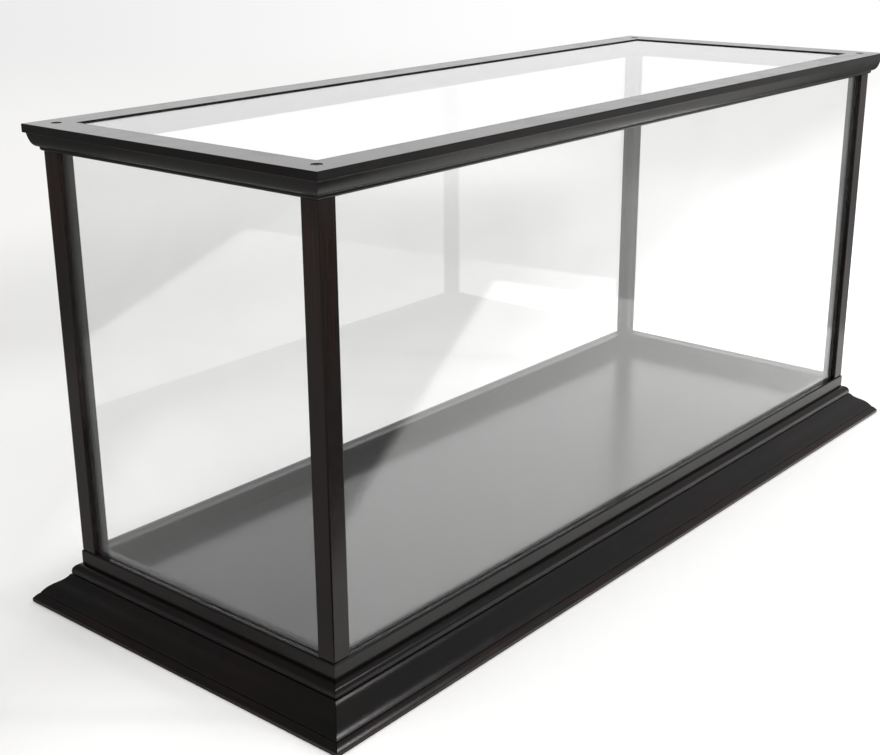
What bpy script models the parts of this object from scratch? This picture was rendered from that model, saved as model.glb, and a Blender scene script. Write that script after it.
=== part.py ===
"""Table-top model display case: a moulded plinth, four grooved posts, clear panes and a lift-off lid.

Lengths are in metres, +Z is up, +X runs along the case and the front is towards -Y.
The origin is on the ground under the middle of the case.
"""

from math import cos, pi, radians, sin, sqrt

import bmesh
import bpy

# Overall size: over the plinth, and from the ground to the top of the crown
CASE_LENGTH = 1.000
CASE_DEPTH = 0.406
CASE_HEIGHT = 0.4563

# Fits between pieces
GLUE_GAP = 0.0003
PANE_CLEARANCE = 0.0002
BORE_CLEARANCE = 0.0003

# Plinth moulding, from its foot up to the ledge that meets the sill
PLINTH_WIDTH = 0.0358
PLINTH_HEIGHT = 0.0380
PLINTH_FOOT_HEIGHT = 0.0036
PLINTH_TOE_RUN = 0.0050
PLINTH_TOE_RISE = 0.0052
PLINTH_NECK_HEIGHT = 0.0026
PLINTH_BEAD_RADIUS = 0.0076
PLINTH_LEDGE = 0.0004
PLINTH_STEP = 0.0012
QUIRK_WIDTH = 0.0007
QUIRK_DEPTH = 0.0007

# Sill rail, a grooved frame that carries the posts, the panes and the floor board
SILL_RISE = 0.0147
SILL_FOOT = 0.0060
SILL_STEP = 0.0008
SILL_REVEAL = 0.0004
SILL_GROOVE_DEPTH = 0.0060
SILL_ARRIS = 0.0016

# Floor board, held in a groove around the inside of the sill
FLOOR_DROP = 0.0187
FLOOR_THICKNESS = 0.0060
FLOOR_TONGUE = 0.0050
FLOOR_TONGUE_THICKNESS = 0.0040

# Glue blocks under the floor board
BLOCK_LEG = 0.0400
BLOCK_NOSE = 0.0060

# Corner posts
POST_SIZE = 0.0185
POST_GROOVE_DEPTH = 0.0040
POST_ARRIS = 0.0010

# Clear panes
PANE_THICKNESS = 0.0030
PANE_SETBACK = 0.0050
PANE_TOP_ROOM = 0.0010
PANE_EDGE = 0.0003

# Crown moulding, from its top fillet down to the bead beside the posts
CROWN_OVERHANG = 0.0119
CROWN_REVEAL = 0.0026
CROWN_HEIGHT = 0.0237
CROWN_FILLET = 0.0077
CROWN_STEP = 0.0022
CROWN_BEAD_RADIUS = 0.0022
CROWN_BEAD_NECK = 0.0014
CROWN_ARRIS = 0.0008
CROWN_GROOVE_DEPTH = 0.0060
TOP_PANE_DROP = 0.0013
TOP_PANE_TONGUE = 0.0060

# Screws: the lid is held from above, each post from below
SCREW_TIP = 0.0040
LID_SCREW_LENGTH = 0.0420
LID_SCREW_SHANK = 0.0042
LID_SCREW_HEAD = 0.0086
LID_SCREW_HEAD_HEIGHT = 0.0026
LID_SCREW_SINK = 0.0006
POST_SCREW_LENGTH = 0.0600
POST_SCREW_SHANK = 0.0048
POST_SCREW_HEAD = 0.0094
POST_SCREW_HEAD_HEIGHT = 0.0030
POST_SCREW_SINK = 0.0090

# Facets of the round stretches
ARRIS_STEPS = 4
BEAD_STEPS = 8
CURVE_STEPS = 10
SCREW_SIDES = 20
SHARP_ANGLE = 28.0
SAME_POINT = 1e-7

# Handles of the flowing curves, as shares of the curve's own run and rise
PLINTH_OGEE_START = (0.30, 0.50)
PLINTH_OGEE_END = (0.40, 0.65)
PLINTH_TOE_START = (0.40, 0.28)
PLINTH_TOE_END = (0.28, 0.38)
CROWN_OVOLO_START = (0.14, 0.39)
CROWN_OVOLO_END = (0.72, 0.00)

# Levels
SILL_TOP = PLINTH_HEIGHT + SILL_RISE
FLOOR_TOP = SILL_TOP - FLOOR_DROP
FLOOR_BOTTOM = FLOOR_TOP - FLOOR_THICKNESS
CROWN_BOTTOM = CASE_HEIGHT - CROWN_HEIGHT
TOP_PANE_TOP = CASE_HEIGHT - TOP_PANE_DROP
TOP_PANE_BOTTOM = TOP_PANE_TOP - PANE_THICKNESS
PANE_BOTTOM = SILL_TOP - SILL_GROOVE_DEPTH + GLUE_GAP
PANE_TOP = CROWN_BOTTOM + CROWN_GROOVE_DEPTH - PANE_TOP_ROOM

# Widths of the rails, measured inwards
SILL_WIDTH = SILL_STEP + POST_SIZE + SILL_REVEAL
CROWN_WIDTH = CROWN_OVERHANG + POST_SIZE + CROWN_REVEAL

# Half sizes of the rectangles that the rails follow
SILL_HALF = (CASE_LENGTH / 2 - PLINTH_WIDTH, CASE_DEPTH / 2 - PLINTH_WIDTH)
POST_HALF = (SILL_HALF[0] - SILL_STEP, SILL_HALF[1] - SILL_STEP)
CROWN_HALF = (POST_HALF[0] + CROWN_OVERHANG, POST_HALF[1] + CROWN_OVERHANG)
SCREW_HALF = (POST_HALF[0] - POST_SIZE / 2, POST_HALF[1] - POST_SIZE / 2)

# Each mitred end is cut back so that two rails meet with one glue gap
MITRE_TRIM = GLUE_GAP / 2 * sqrt(2)

# Sides and corners in the order of quarter turns about +Z, starting from the front
SIDES = ("front", "right", "back", "left")
CORNERS = {"front_left": (-1, -1), "front_right": (1, -1), "back_right": (1, 1), "back_left": (-1, 1)}

MAHOGANY = (0.022, 0.015, 0.013)
FLOOR_BLACK = (0.020, 0.020, 0.021)
RAW_WOOD = (0.36, 0.24, 0.14)
CLEAR = (0.93, 0.95, 0.95)
BLACK_STEEL = (0.035, 0.035, 0.037)


def clear_scene():
    """Remove the objects of the open scene."""
    for item in list(bpy.data.objects):
        bpy.data.objects.remove(item, do_unlink=True)


def finish(name, colour, roughness, metallic=0.0, transmission=0.0):
    """Make a Principled material."""
    material = bpy.data.materials.new(name)
    material.use_nodes = True
    shader = material.node_tree.nodes["Principled BSDF"]
    shader.inputs["Base Color"].default_value = (*colour, 1.0)
    shader.inputs["Roughness"].default_value = roughness
    shader.inputs["Metallic"].default_value = metallic
    shader.inputs["Transmission Weight"].default_value = transmission
    material.diffuse_color = (*colour, 1.0)
    return material


def add_object(name, bm, material, quarter_turns=0, location=(0.0, 0.0, 0.0)):
    """Turn a bmesh into a named object with its faces outwards, placed by location and rotation."""
    bmesh.ops.recalc_face_normals(bm, faces=bm.faces)
    mesh = bpy.data.meshes.new(name)
    bm.to_mesh(mesh)
    bm.free()
    mesh.shade_smooth()
    mesh.set_sharp_from_angle(angle=radians(SHARP_ANGLE))
    item = bpy.data.objects.new(name, mesh)
    if material is not None:
        mesh.materials.append(material)
    item.location = location
    item.rotation_euler = (0.0, 0.0, quarter_turns * pi / 2)
    bpy.context.collection.objects.link(item)
    return item


def on_circle(centre, radius, angle):
    """The point of a circle at an angle in degrees."""
    return (centre[0] + radius * cos(radians(angle)), centre[1] + radius * sin(radians(angle)))


def arc(centre, radius, start, end, steps):
    """Points on an arc from one angle to another, in degrees."""
    return [on_circle(centre, radius, start + (end - start) * step / steps) for step in range(steps + 1)]


def flowing(start, end, start_handle, end_handle, steps):
    """Points on a cubic curve whose handles are shares of its run and rise."""
    run = end[0] - start[0]
    rise = end[1] - start[1]
    second = (start[0] + start_handle[0] * run, start[1] + start_handle[1] * rise)
    third = (end[0] - end_handle[0] * run, end[1] - end_handle[1] * rise)
    points = []
    for step in range(steps + 1):
        t = step / steps
        weights = ((1 - t) ** 3, 3 * t * (1 - t) ** 2, 3 * t * t * (1 - t), t ** 3)
        points.append(tuple(
            sum(weight * point[axis] for weight, point in zip(weights, (start, second, third, end)))
            for axis in (0, 1)))
    return points


def without_repeats(outline):
    """Drop points that repeat the one before them."""
    kept = [outline[0]]
    for point in outline[1:]:
        if abs(point[0] - kept[-1][0]) + abs(point[1] - kept[-1][1]) > SAME_POINT:
            kept.append(point)
    return kept


def skin(rings):
    """Close a body over rings of equally many points, capped at both ends."""
    bm = bmesh.new()
    loops = [[bm.verts.new(point) for point in ring] for ring in rings]
    for first, second in zip(loops, loops[1:]):
        for index in range(len(first)):
            following = (index + 1) % len(first)
            bm.faces.new((first[index], first[following], second[following], second[index]))
    bm.faces.new(loops[0])
    bm.faces.new(loops[-1])
    return bm


def prism(section, bottom, top):
    """Raise a flat section from one level to another."""
    return skin([[(x, y, level) for x, y in section] for level in (bottom, top)])


def rectangle(half_x, half_y):
    """Corners of a rectangle centred on the origin."""
    return ((-half_x, -half_y), (half_x, -half_y), (half_x, half_y), (-half_x, half_y))


def rail(outline, half_run, reach):
    """Run a moulding along the front, its ends cut at 45 degrees through the corners.

    The outline holds (outwards, up) points, measured outwards from the rectangle that the frame follows.
    """
    return skin([
        [(sign * (half_run + out - MITRE_TRIM), -(reach + out), up) for out, up in outline]
        for sign in (-1, 1)])


def frame_of_rails(prefix, outline, half, material):
    """Four mitred rails around a rectangle of half sizes (along X, along Y)."""
    rails = []
    for turns, side in enumerate(SIDES):
        half_run, reach = (half[0], half[1]) if turns % 2 == 0 else (half[1], half[0])
        rails.append(add_object(f"{prefix}_{side}", rail(outline, half_run, reach), material, turns))
    return rails


def plinth_outline():
    """Section of the plinth: foot, toe, quirk, ogee, step, neck and bead; out is 0 at the sill."""
    toe_start = (PLINTH_WIDTH - PLINTH_TOE_RUN, PLINTH_FOOT_HEIGHT + PLINTH_TOE_RISE)
    ogee_end = (toe_start[0] - QUIRK_WIDTH, toe_start[1] + QUIRK_WIDTH)
    quirk = (toe_start[0] - QUIRK_DEPTH, toe_start[1] - QUIRK_DEPTH / 2)
    neck_out = PLINTH_LEDGE + PLINTH_BEAD_RADIUS
    neck_top = PLINTH_HEIGHT - PLINTH_BEAD_RADIUS
    neck_bottom = neck_top - PLINTH_NECK_HEIGHT
    ogee_start = (neck_out + PLINTH_STEP, neck_bottom - QUIRK_DEPTH / 2)
    bead_centre = (PLINTH_LEDGE, neck_top)

    outline = [(GLUE_GAP, 0.0), (PLINTH_WIDTH, 0.0)]
    toe_end = (PLINTH_WIDTH, PLINTH_FOOT_HEIGHT)
    toe = flowing(toe_start, toe_end, PLINTH_TOE_START, PLINTH_TOE_END, BEAD_STEPS)
    outline += reversed(toe)
    outline.append(quirk)
    ogee = flowing(ogee_start, ogee_end, PLINTH_OGEE_START, PLINTH_OGEE_END, 2 * CURVE_STEPS)
    outline += reversed(ogee)
    outline += [(neck_out - QUIRK_DEPTH, neck_bottom), (neck_out, neck_bottom + QUIRK_WIDTH)]
    outline += arc(bead_centre, PLINTH_BEAD_RADIUS, 0, 90, 2 * BEAD_STEPS)
    outline.append((GLUE_GAP, PLINTH_HEIGHT))
    return without_repeats(outline)


def sill_outline():
    """Section of the sill rail with its pane groove on top and its floor groove inside."""
    pane_middle = SILL_STEP + PANE_SETBACK + PANE_THICKNESS / 2
    groove_half = PANE_THICKNESS / 2 + PANE_CLEARANCE
    groove_bottom = SILL_TOP - SILL_GROOVE_DEPTH
    floor_groove = (FLOOR_BOTTOM - GLUE_GAP, FLOOR_BOTTOM + FLOOR_TONGUE_THICKNESS + GLUE_GAP)
    floor_depth = SILL_WIDTH - FLOOR_TONGUE

    outline = [(0.0, SILL_FOOT)]
    outline += arc((-SILL_ARRIS, SILL_TOP - SILL_ARRIS), SILL_ARRIS, 0, 90, ARRIS_STEPS)
    outline += [(-pane_middle + groove_half, SILL_TOP), (-pane_middle + groove_half, groove_bottom)]
    outline += [(-pane_middle - groove_half, groove_bottom), (-pane_middle - groove_half, SILL_TOP)]
    outline += arc((SILL_ARRIS - SILL_WIDTH, SILL_TOP - SILL_ARRIS), SILL_ARRIS, 90, 180, ARRIS_STEPS)
    outline += [(-SILL_WIDTH, floor_groove[1]), (-floor_depth, floor_groove[1])]
    outline += [(-floor_depth, floor_groove[0]), (-SILL_WIDTH, floor_groove[0])]
    outline.append((-SILL_WIDTH, SILL_FOOT))
    return outline


def crown_outline():
    """Section of the crown: fillet, step, ovolo and bead outside, pane grooves inside and below."""
    pane_middle = CROWN_OVERHANG + PANE_SETBACK + PANE_THICKNESS / 2
    groove_half = PANE_THICKNESS / 2 + PANE_CLEARANCE
    groove_top = CROWN_BOTTOM + CROWN_GROOVE_DEPTH
    top_groove = (TOP_PANE_BOTTOM - PANE_CLEARANCE, TOP_PANE_TOP + PANE_CLEARANCE)
    top_groove_depth = CROWN_WIDTH - TOP_PANE_TONGUE
    fillet_bottom = CASE_HEIGHT - CROWN_FILLET
    bead_centre = (-CROWN_OVERHANG, CROWN_BOTTOM + CROWN_BEAD_RADIUS)
    bead_out = -CROWN_OVERHANG + CROWN_BEAD_RADIUS
    ovolo_end = (bead_out, bead_centre[1] + CROWN_BEAD_NECK)
    ovolo_start = (-CROWN_STEP, fillet_bottom)
    inner_arris = CROWN_ARRIS - CROWN_WIDTH
    arris_top = CASE_HEIGHT - CROWN_ARRIS

    outline = arc((inner_arris, arris_top), CROWN_ARRIS, 180, 90, ARRIS_STEPS)
    outline += arc((-CROWN_ARRIS, arris_top), CROWN_ARRIS, 90, 0, ARRIS_STEPS)
    outline += arc((-CROWN_ARRIS, fillet_bottom + CROWN_ARRIS), CROWN_ARRIS, 0, -90, ARRIS_STEPS)
    outline += flowing(ovolo_start, ovolo_end, CROWN_OVOLO_START, CROWN_OVOLO_END, CURVE_STEPS)
    outline += arc(bead_centre, CROWN_BEAD_RADIUS, 0, -90, BEAD_STEPS)
    outline += [(-pane_middle + groove_half, CROWN_BOTTOM), (-pane_middle + groove_half, groove_top)]
    outline += [(-pane_middle - groove_half, groove_top), (-pane_middle - groove_half, CROWN_BOTTOM)]
    outline += arc((inner_arris, CROWN_BOTTOM + CROWN_ARRIS), CROWN_ARRIS, 270, 180, ARRIS_STEPS)
    outline += [(-CROWN_WIDTH, top_groove[0]), (-top_groove_depth, top_groove[0])]
    outline += [(-top_groove_depth, top_groove[1]), (-CROWN_WIDTH, top_groove[1])]
    return without_repeats(outline)


def post_section():
    """Section of a post from its outer corner at the origin, with a pane groove in both inner sides."""
    near = PANE_SETBACK - PANE_CLEARANCE
    far = PANE_SETBACK + PANE_THICKNESS + PANE_CLEARANCE
    deep = POST_SIZE - POST_GROOVE_DEPTH
    low = POST_ARRIS
    high = POST_SIZE - POST_ARRIS

    section = arc((low, low), POST_ARRIS, 180, 270, ARRIS_STEPS)
    section += arc((high, low), POST_ARRIS, 270, 360, ARRIS_STEPS)
    section += [(POST_SIZE, near), (deep, near), (deep, far), (POST_SIZE, far)]
    section += arc((high, high), POST_ARRIS, 0, 90, ARRIS_STEPS)
    section += [(far, POST_SIZE), (far, deep), (near, deep), (near, POST_SIZE)]
    section += arc((low, high), POST_ARRIS, 90, 180, ARRIS_STEPS)
    return section


def screw_outline(length, shank, head, head_height):
    """Half section of a pan-head wood screw as (radius, distance from the top of the head) points."""
    crown = head_height / 2
    outline = [(0.0, 0.0), (head / 2 - crown, 0.0)]
    outline += [(head / 2 - crown + crown * sin(step * pi / 2 / ARRIS_STEPS),
                 crown - crown * cos(step * pi / 2 / ARRIS_STEPS)) for step in range(1, ARRIS_STEPS + 1)]
    outline += [(head / 2, head_height), (shank / 2, head_height)]
    outline += [(shank / 2, length - SCREW_TIP), (0.0, length)]
    return outline


def bore_outline(length, shank, head, head_height, mouth):
    """Half section of the stepped bore around such a screw, open above the head by the mouth."""
    pocket = head / 2 + BORE_CLEARANCE
    hole = shank / 2 + BORE_CLEARANCE
    seat = head_height + BORE_CLEARANCE
    return [(0.0, -mouth), (pocket, -mouth), (pocket, seat), (hole, seat),
            (hole, length + BORE_CLEARANCE), (0.0, length + BORE_CLEARANCE)]


def turned(outline, direction):
    """A turned body: the outline spins about +Z and runs up or down from the origin."""
    bm = bmesh.new()
    rings = []
    for radius, along in outline:
        sides = SCREW_SIDES if radius > 0 else 1
        angles = [2 * pi * side / SCREW_SIDES for side in range(sides)]
        rings.append([
            bm.verts.new((radius * cos(angle), radius * sin(angle), direction * along)) for angle in angles])
    for first, second in zip(rings, rings[1:]):
        for side in range(SCREW_SIDES):
            following = (side + 1) % SCREW_SIDES
            corners = [first[side % len(first)], first[following % len(first)],
                       second[following % len(second)], second[side % len(second)]]
            bm.faces.new(list(dict.fromkeys(corners)))
    return bm


def bore(pieces, guide):
    """Cut a hidden guide out of pieces."""
    guide.hide_render = True
    guide.display_type = "WIRE"
    for piece in pieces:
        cut = piece.modifiers.new(guide.name, "BOOLEAN")
        cut.operation = "DIFFERENCE"
        cut.solver = "EXACT"
        cut.object = guide


def ease(pane):
    """Break the sharp edges of a pane."""
    edge = pane.modifiers.new("eased_edges", "BEVEL")
    edge.width = PANE_EDGE
    edge.segments = 1
    edge.limit_method = "ANGLE"


def make_base(wood, raw):
    """Plinth, sill frame and the glue blocks in its corners."""
    frame_of_rails("plinth", plinth_outline(), SILL_HALF, wood)
    sills = frame_of_rails("sill", sill_outline(), SILL_HALF, wood)

    blunt = BLOCK_NOSE
    section = ((0.0, 0.0), (BLOCK_LEG, 0.0), (BLOCK_LEG, blunt), (blunt, BLOCK_LEG), (0.0, BLOCK_LEG))
    inner = [half - SILL_WIDTH - GLUE_GAP for half in SILL_HALF]
    for turns, (corner, signs) in enumerate(CORNERS.items()):
        place = (signs[0] * inner[0], signs[1] * inner[1], 0.0)
        block = prism(section, SILL_FOOT, FLOOR_BOTTOM - GLUE_GAP)
        add_object(f"corner_block_{corner}", block, raw, turns, place)
    return sills


def make_floor(black):
    """The floor board: its field lies between the sills and its rebated edge goes into their groove."""
    field = [half - SILL_WIDTH - GLUE_GAP for half in SILL_HALF]
    tongue = [half + FLOOR_TONGUE for half in field]
    tongue_top = FLOOR_BOTTOM + FLOOR_TONGUE_THICKNESS
    steps = ((tongue, FLOOR_BOTTOM), (tongue, tongue_top), (field, tongue_top), (field, FLOOR_TOP))
    board = skin([[(x, y, level) for x, y in rectangle(*half)] for half, level in steps])
    add_object("floor_board", board, black)


def make_posts(wood):
    """Four posts standing on the corners of the sill."""
    posts = []
    for turns, (corner, signs) in enumerate(CORNERS.items()):
        bm = prism(post_section(), SILL_TOP + GLUE_GAP, CROWN_BOTTOM - GLUE_GAP)
        place = (signs[0] * POST_HALF[0], signs[1] * POST_HALF[1], 0.0)
        posts.append(add_object(f"post_{corner}", bm, wood, turns, place))
    return posts


def make_side_panes(clear):
    """Four upright panes, each held by two posts, the sill and the crown."""
    held = POST_GROOVE_DEPTH - GLUE_GAP
    for turns, side in enumerate(SIDES):
        along, across = (0, 1) if turns % 2 == 0 else (1, 0)
        half_width = POST_HALF[along] - POST_SIZE + held
        middle = POST_HALF[across] - PANE_SETBACK - PANE_THICKNESS / 2
        outline = [(x, y - middle) for x, y in rectangle(half_width, PANE_THICKNESS / 2)]
        ease(add_object(f"pane_{side}", prism(outline, PANE_BOTTOM, PANE_TOP), clear, turns))


def make_lid(wood, clear):
    """The crown frame with the top pane caught in its groove."""
    crowns = frame_of_rails("crown", crown_outline(), CROWN_HALF, wood)
    half = [size - CROWN_WIDTH + TOP_PANE_TONGUE - GLUE_GAP for size in CROWN_HALF]
    pane = add_object("pane_top", prism(rectangle(*half), TOP_PANE_BOTTOM, TOP_PANE_TOP), clear)
    ease(pane)
    return crowns, pane


def make_screws(prefix, size, level, direction, mouth, rails, posts, steel):
    """One screw in the middle of each post, with its bore through the two rails and into the post."""
    screws = []
    for index, (corner, signs) in enumerate(CORNERS.items()):
        place = (signs[0] * SCREW_HALF[0], signs[1] * SCREW_HALF[1], level)
        screw = turned(screw_outline(*size), direction)
        screws.append(add_object(f"{prefix}_{corner}", screw, steel, location=place))
        guide_body = turned(bore_outline(*size, mouth), direction)
        guide = add_object(f"{prefix}_bore_{corner}", guide_body, None, location=place)
        bore((rails[index - 1], rails[index], posts[index]), guide)
    return screws


def make_lid_screws(crowns, posts, steel):
    """Screws from above that hold the lid to the posts."""
    size = (LID_SCREW_LENGTH, LID_SCREW_SHANK, LID_SCREW_HEAD, LID_SCREW_HEAD_HEIGHT)
    mouth = LID_SCREW_SINK + LID_SCREW_HEAD_HEIGHT
    return make_screws("lid_screw", size, CASE_HEIGHT - LID_SCREW_SINK, -1, mouth, crowns, posts, steel)


def make_post_screws(sills, posts, steel):
    """Screws from below that hold the posts to the sill."""
    size = (POST_SCREW_LENGTH, POST_SCREW_SHANK, POST_SCREW_HEAD, POST_SCREW_HEAD_HEIGHT)
    mouth = POST_SCREW_SINK + POST_SCREW_HEAD_HEIGHT
    make_screws("post_screw", size, SILL_FOOT + POST_SCREW_SINK, 1, mouth, sills, posts, steel)


def gather_lid(pieces):
    """Hang the pieces of the lid on an empty that stands on the line along which the lid lifts."""
    lid = bpy.data.objects.new("lid", None)
    lid.location = (0.0, 0.0, CROWN_BOTTOM)
    bpy.context.collection.objects.link(lid)
    for piece in pieces:
        piece.parent = lid
        piece.location.z -= CROWN_BOTTOM


def main():
    """Build the case from the ground up."""
    clear_scene()
    wood = finish("dark_mahogany_lacquer", MAHOGANY, 0.32)
    black = finish("satin_black_board", FLOOR_BLACK, 0.36)
    raw = finish("raw_wood", RAW_WOOD, 0.75)
    clear = finish("clear_acrylic", CLEAR, 0.02, transmission=1.0)
    steel = finish("black_steel", BLACK_STEEL, 0.45, metallic=0.9)
    sills = make_base(wood, raw)
    make_floor(black)
    posts = make_posts(wood)
    make_side_panes(clear)
    make_post_screws(sills, posts, steel)
    crowns, top_pane = make_lid(wood, clear)
    screws = make_lid_screws(crowns, posts, steel)
    gather_lid(crowns + [top_pane] + screws)


main()
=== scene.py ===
"""Model display case in its finish: mouldings, posts, clear panes, floor board and screws.

Lengths are in metres. +X runs along the case, the front is towards -Y and +Z is up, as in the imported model.
"""

from __future__ import annotations

import logging
import math
from dataclasses import dataclass
from enum import Enum
from typing import Any, Callable, Dict, Iterable, Mapping, Optional, Sequence, Tuple, Union

import bmesh
import bpy
from mathutils import Matrix, Vector

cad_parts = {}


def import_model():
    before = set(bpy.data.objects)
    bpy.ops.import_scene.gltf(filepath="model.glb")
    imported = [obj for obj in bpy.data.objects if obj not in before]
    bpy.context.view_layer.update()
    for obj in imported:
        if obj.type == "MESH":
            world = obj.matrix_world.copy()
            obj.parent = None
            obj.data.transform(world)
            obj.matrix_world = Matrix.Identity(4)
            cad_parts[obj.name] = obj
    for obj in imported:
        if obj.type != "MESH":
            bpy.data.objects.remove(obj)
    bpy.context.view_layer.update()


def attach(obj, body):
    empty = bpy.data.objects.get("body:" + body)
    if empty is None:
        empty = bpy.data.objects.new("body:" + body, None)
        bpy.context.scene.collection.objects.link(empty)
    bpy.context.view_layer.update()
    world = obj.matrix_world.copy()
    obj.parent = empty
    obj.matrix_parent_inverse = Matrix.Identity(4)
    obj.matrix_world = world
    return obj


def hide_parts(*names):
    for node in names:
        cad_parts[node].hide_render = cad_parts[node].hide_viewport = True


LOG = logging.getLogger("display_case")

Point = Tuple[float, float]
Place = Tuple[float, float, float]
Colour = Tuple[float, float, float]
Outline = list
Socket = bpy.types.NodeSocket
Feed = Union[float, int, bool, Sequence[float], bpy.types.NodeSocket, bpy.types.Material]
Cutters = Mapping["Corner", bpy.types.Object]

SHARP_ANGLE = math.radians(34.0)
SAME_POINT = 1e-7


class Named(Enum):
    """A side or a corner, numbered in quarter turns about +Z."""

    @property
    def label(self) -> str:
        """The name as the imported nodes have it."""
        return self.name.lower()

    @property
    def turn(self) -> float:
        """The turn from the first one, in radians."""
        return self.value * math.pi / 2


class Side(Named):
    """The four sides, from the front."""

    FRONT = 0
    RIGHT = 1
    BACK = 2
    LEFT = 3

    @property
    def runs_along_x(self) -> bool:
        """Whether a rail on this side lies along the length of the case."""
        return self.value % 2 == 0


class Corner(Named):
    """The four corners, from the front left."""

    FRONT_LEFT = 0
    FRONT_RIGHT = 1
    BACK_RIGHT = 2
    BACK_LEFT = 3

    def place(self, half: Sequence[float], level: float = 0.0) -> Vector:
        """This corner of a rectangle that is given by its half sizes."""
        right, back = ((-1, -1), (1, -1), (1, 1), (-1, 1))[self.value]
        return Vector((right * half[0], back * half[1], level))

    def seat(self, half: Sequence[float]) -> Matrix:
        """The move that turns a piece to this corner of a rectangle and sets it there."""
        return Matrix.Translation(self.place(half)) @ Matrix.Rotation(self.turn, 4, "Z")


class Body(Enum):
    """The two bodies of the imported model."""

    CASE = "case"
    LID = "lid"


class Slot(Enum):
    """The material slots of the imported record."""

    DARK_WOOD = "dark_wood"
    CLEAR_PANE = "clear_pane"
    BLACK_BOARD = "black_board"
    BLACK_STEEL = "black_steel"
    RAW_WOOD = "raw_wood"


class Grain(Enum):
    """The way the grain of a piece runs, as the share of each axis that a grain pattern keeps."""

    ALONG_X = (0.05, 1.0, 1.0)
    ALONG_Y = (1.0, 0.05, 1.0)
    ALONG_Z = (1.0, 1.0, 0.05)


class Sketch:
    """Short-hand for drawing a shader or geometry node tree."""

    def __init__(self, tree: bpy.types.NodeTree) -> None:
        """Start on a tree."""
        self.tree = tree

    def feed(self, socket: Socket, value: Feed) -> None:
        """Link a socket to an output, or set its plain value."""
        if isinstance(value, Socket):
            self.tree.links.new(value, socket)
        else:
            socket.default_value = value

    def node(self, kind: str, inputs: Optional[Mapping[Union[str, int], Feed]] = None,
             **settings: Any) -> bpy.types.Node:
        """Add a node.

        Args:
            kind: the node's type.
            inputs: what feeds its inputs, by name or number.
            settings: properties of the node.

        Returns:
            The new node.
        """
        made = self.tree.nodes.new(kind)
        for key, value in settings.items():
            setattr(made, key, value)
        for key, value in (inputs or {}).items():
            self.feed(made.inputs[key], value)
        return made

    def math(self, operation: str, first: Feed, second: Feed = 0.0, third: Feed = 0.0) -> Socket:
        """The result of a Math node."""
        return self.node("ShaderNodeMath", {0: first, 1: second, 2: third}, operation=operation).outputs[0]

    def ramp(self, value: Feed, low: float, high: float) -> Socket:
        """A soft step from 0 at low to 1 at high."""
        inputs = {0: value, 1: low, 2: high}
        return self.node("ShaderNodeMapRange", inputs, interpolation_type="SMOOTHSTEP").outputs[0]

    def band(self, value: Feed, rise: Point, fall: Point) -> Socket:
        """A soft step up and a soft step down again."""
        return self.math("SUBTRACT", self.ramp(value, *rise), self.ramp(value, *fall))

    def spread(self, value: Feed, low: Feed, high: Feed) -> Socket:
        """A value from 0 to 1, carried to the range from low to high."""
        return self.node("ShaderNodeMapRange", {0: value, 3: low, 4: high}).outputs[0]

    def mixed(self, share: Feed, first: Feed, second: Feed) -> Socket:
        """One value carried over to another by a share."""
        return self.node("ShaderNodeMix", {0: share, 2: first, 3: second}, data_type="FLOAT").outputs[0]

    def blend(self, share: Feed, first: Feed, second: Feed) -> Socket:
        """One colour laid over another by a share."""
        made = self.node("ShaderNodeMix", {0: share}, data_type="RGBA", clamp_factor=True)
        for index, value in ((6, first), (7, second)):
            self.feed(made.inputs[index], value if isinstance(value, Socket) else (*value, 1.0))
        return made.outputs[2]

    def noise(self, vector: Feed, scale: Feed, detail: float = 2.0, distortion: float = 0.0,
              roughness: float = 0.5) -> Socket:
        """A cloudy value about one half."""
        inputs = {"Vector": vector, "Scale": scale, "Detail": detail, "Roughness": roughness,
                  "Distortion": distortion}
        return self.node("ShaderNodeTexNoise", inputs).outputs[0]

    def stretched(self, vector: Feed, scale: Sequence[float]) -> Socket:
        """A vector multiplied axis by axis."""
        return self.node("ShaderNodeVectorMath", {0: vector, 1: scale}, operation="MULTIPLY").outputs[0]

    def scaled(self, vector: Feed, scale: Feed) -> Socket:
        """A vector multiplied by one value."""
        return self.node("ShaderNodeVectorMath", {0: vector, "Scale": scale}, operation="SCALE").outputs[0]

    def dot(self, vector: Feed, way: Sequence[float]) -> Socket:
        """How far a vector points one way."""
        inputs = {0: vector, 1: way}
        return self.node("ShaderNodeVectorMath", inputs, operation="DOT_PRODUCT").outputs["Value"]

    def axes(self, vector: Feed) -> Any:
        """A vector's X, Y and Z."""
        return self.node("ShaderNodeSeparateXYZ", {0: vector}).outputs

    def vector(self, **axes: Feed) -> Socket:
        """A vector from its X, Y and Z; those left out are 0."""
        return self.node("ShaderNodeCombineXYZ", axes).outputs[0]

    def group(self, tree: bpy.types.NodeTree, inputs: Mapping[str, Feed]) -> Any:
        """The outputs of a shared node group."""
        return self.node("ShaderNodeGroup", inputs, node_tree=tree).outputs


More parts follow.
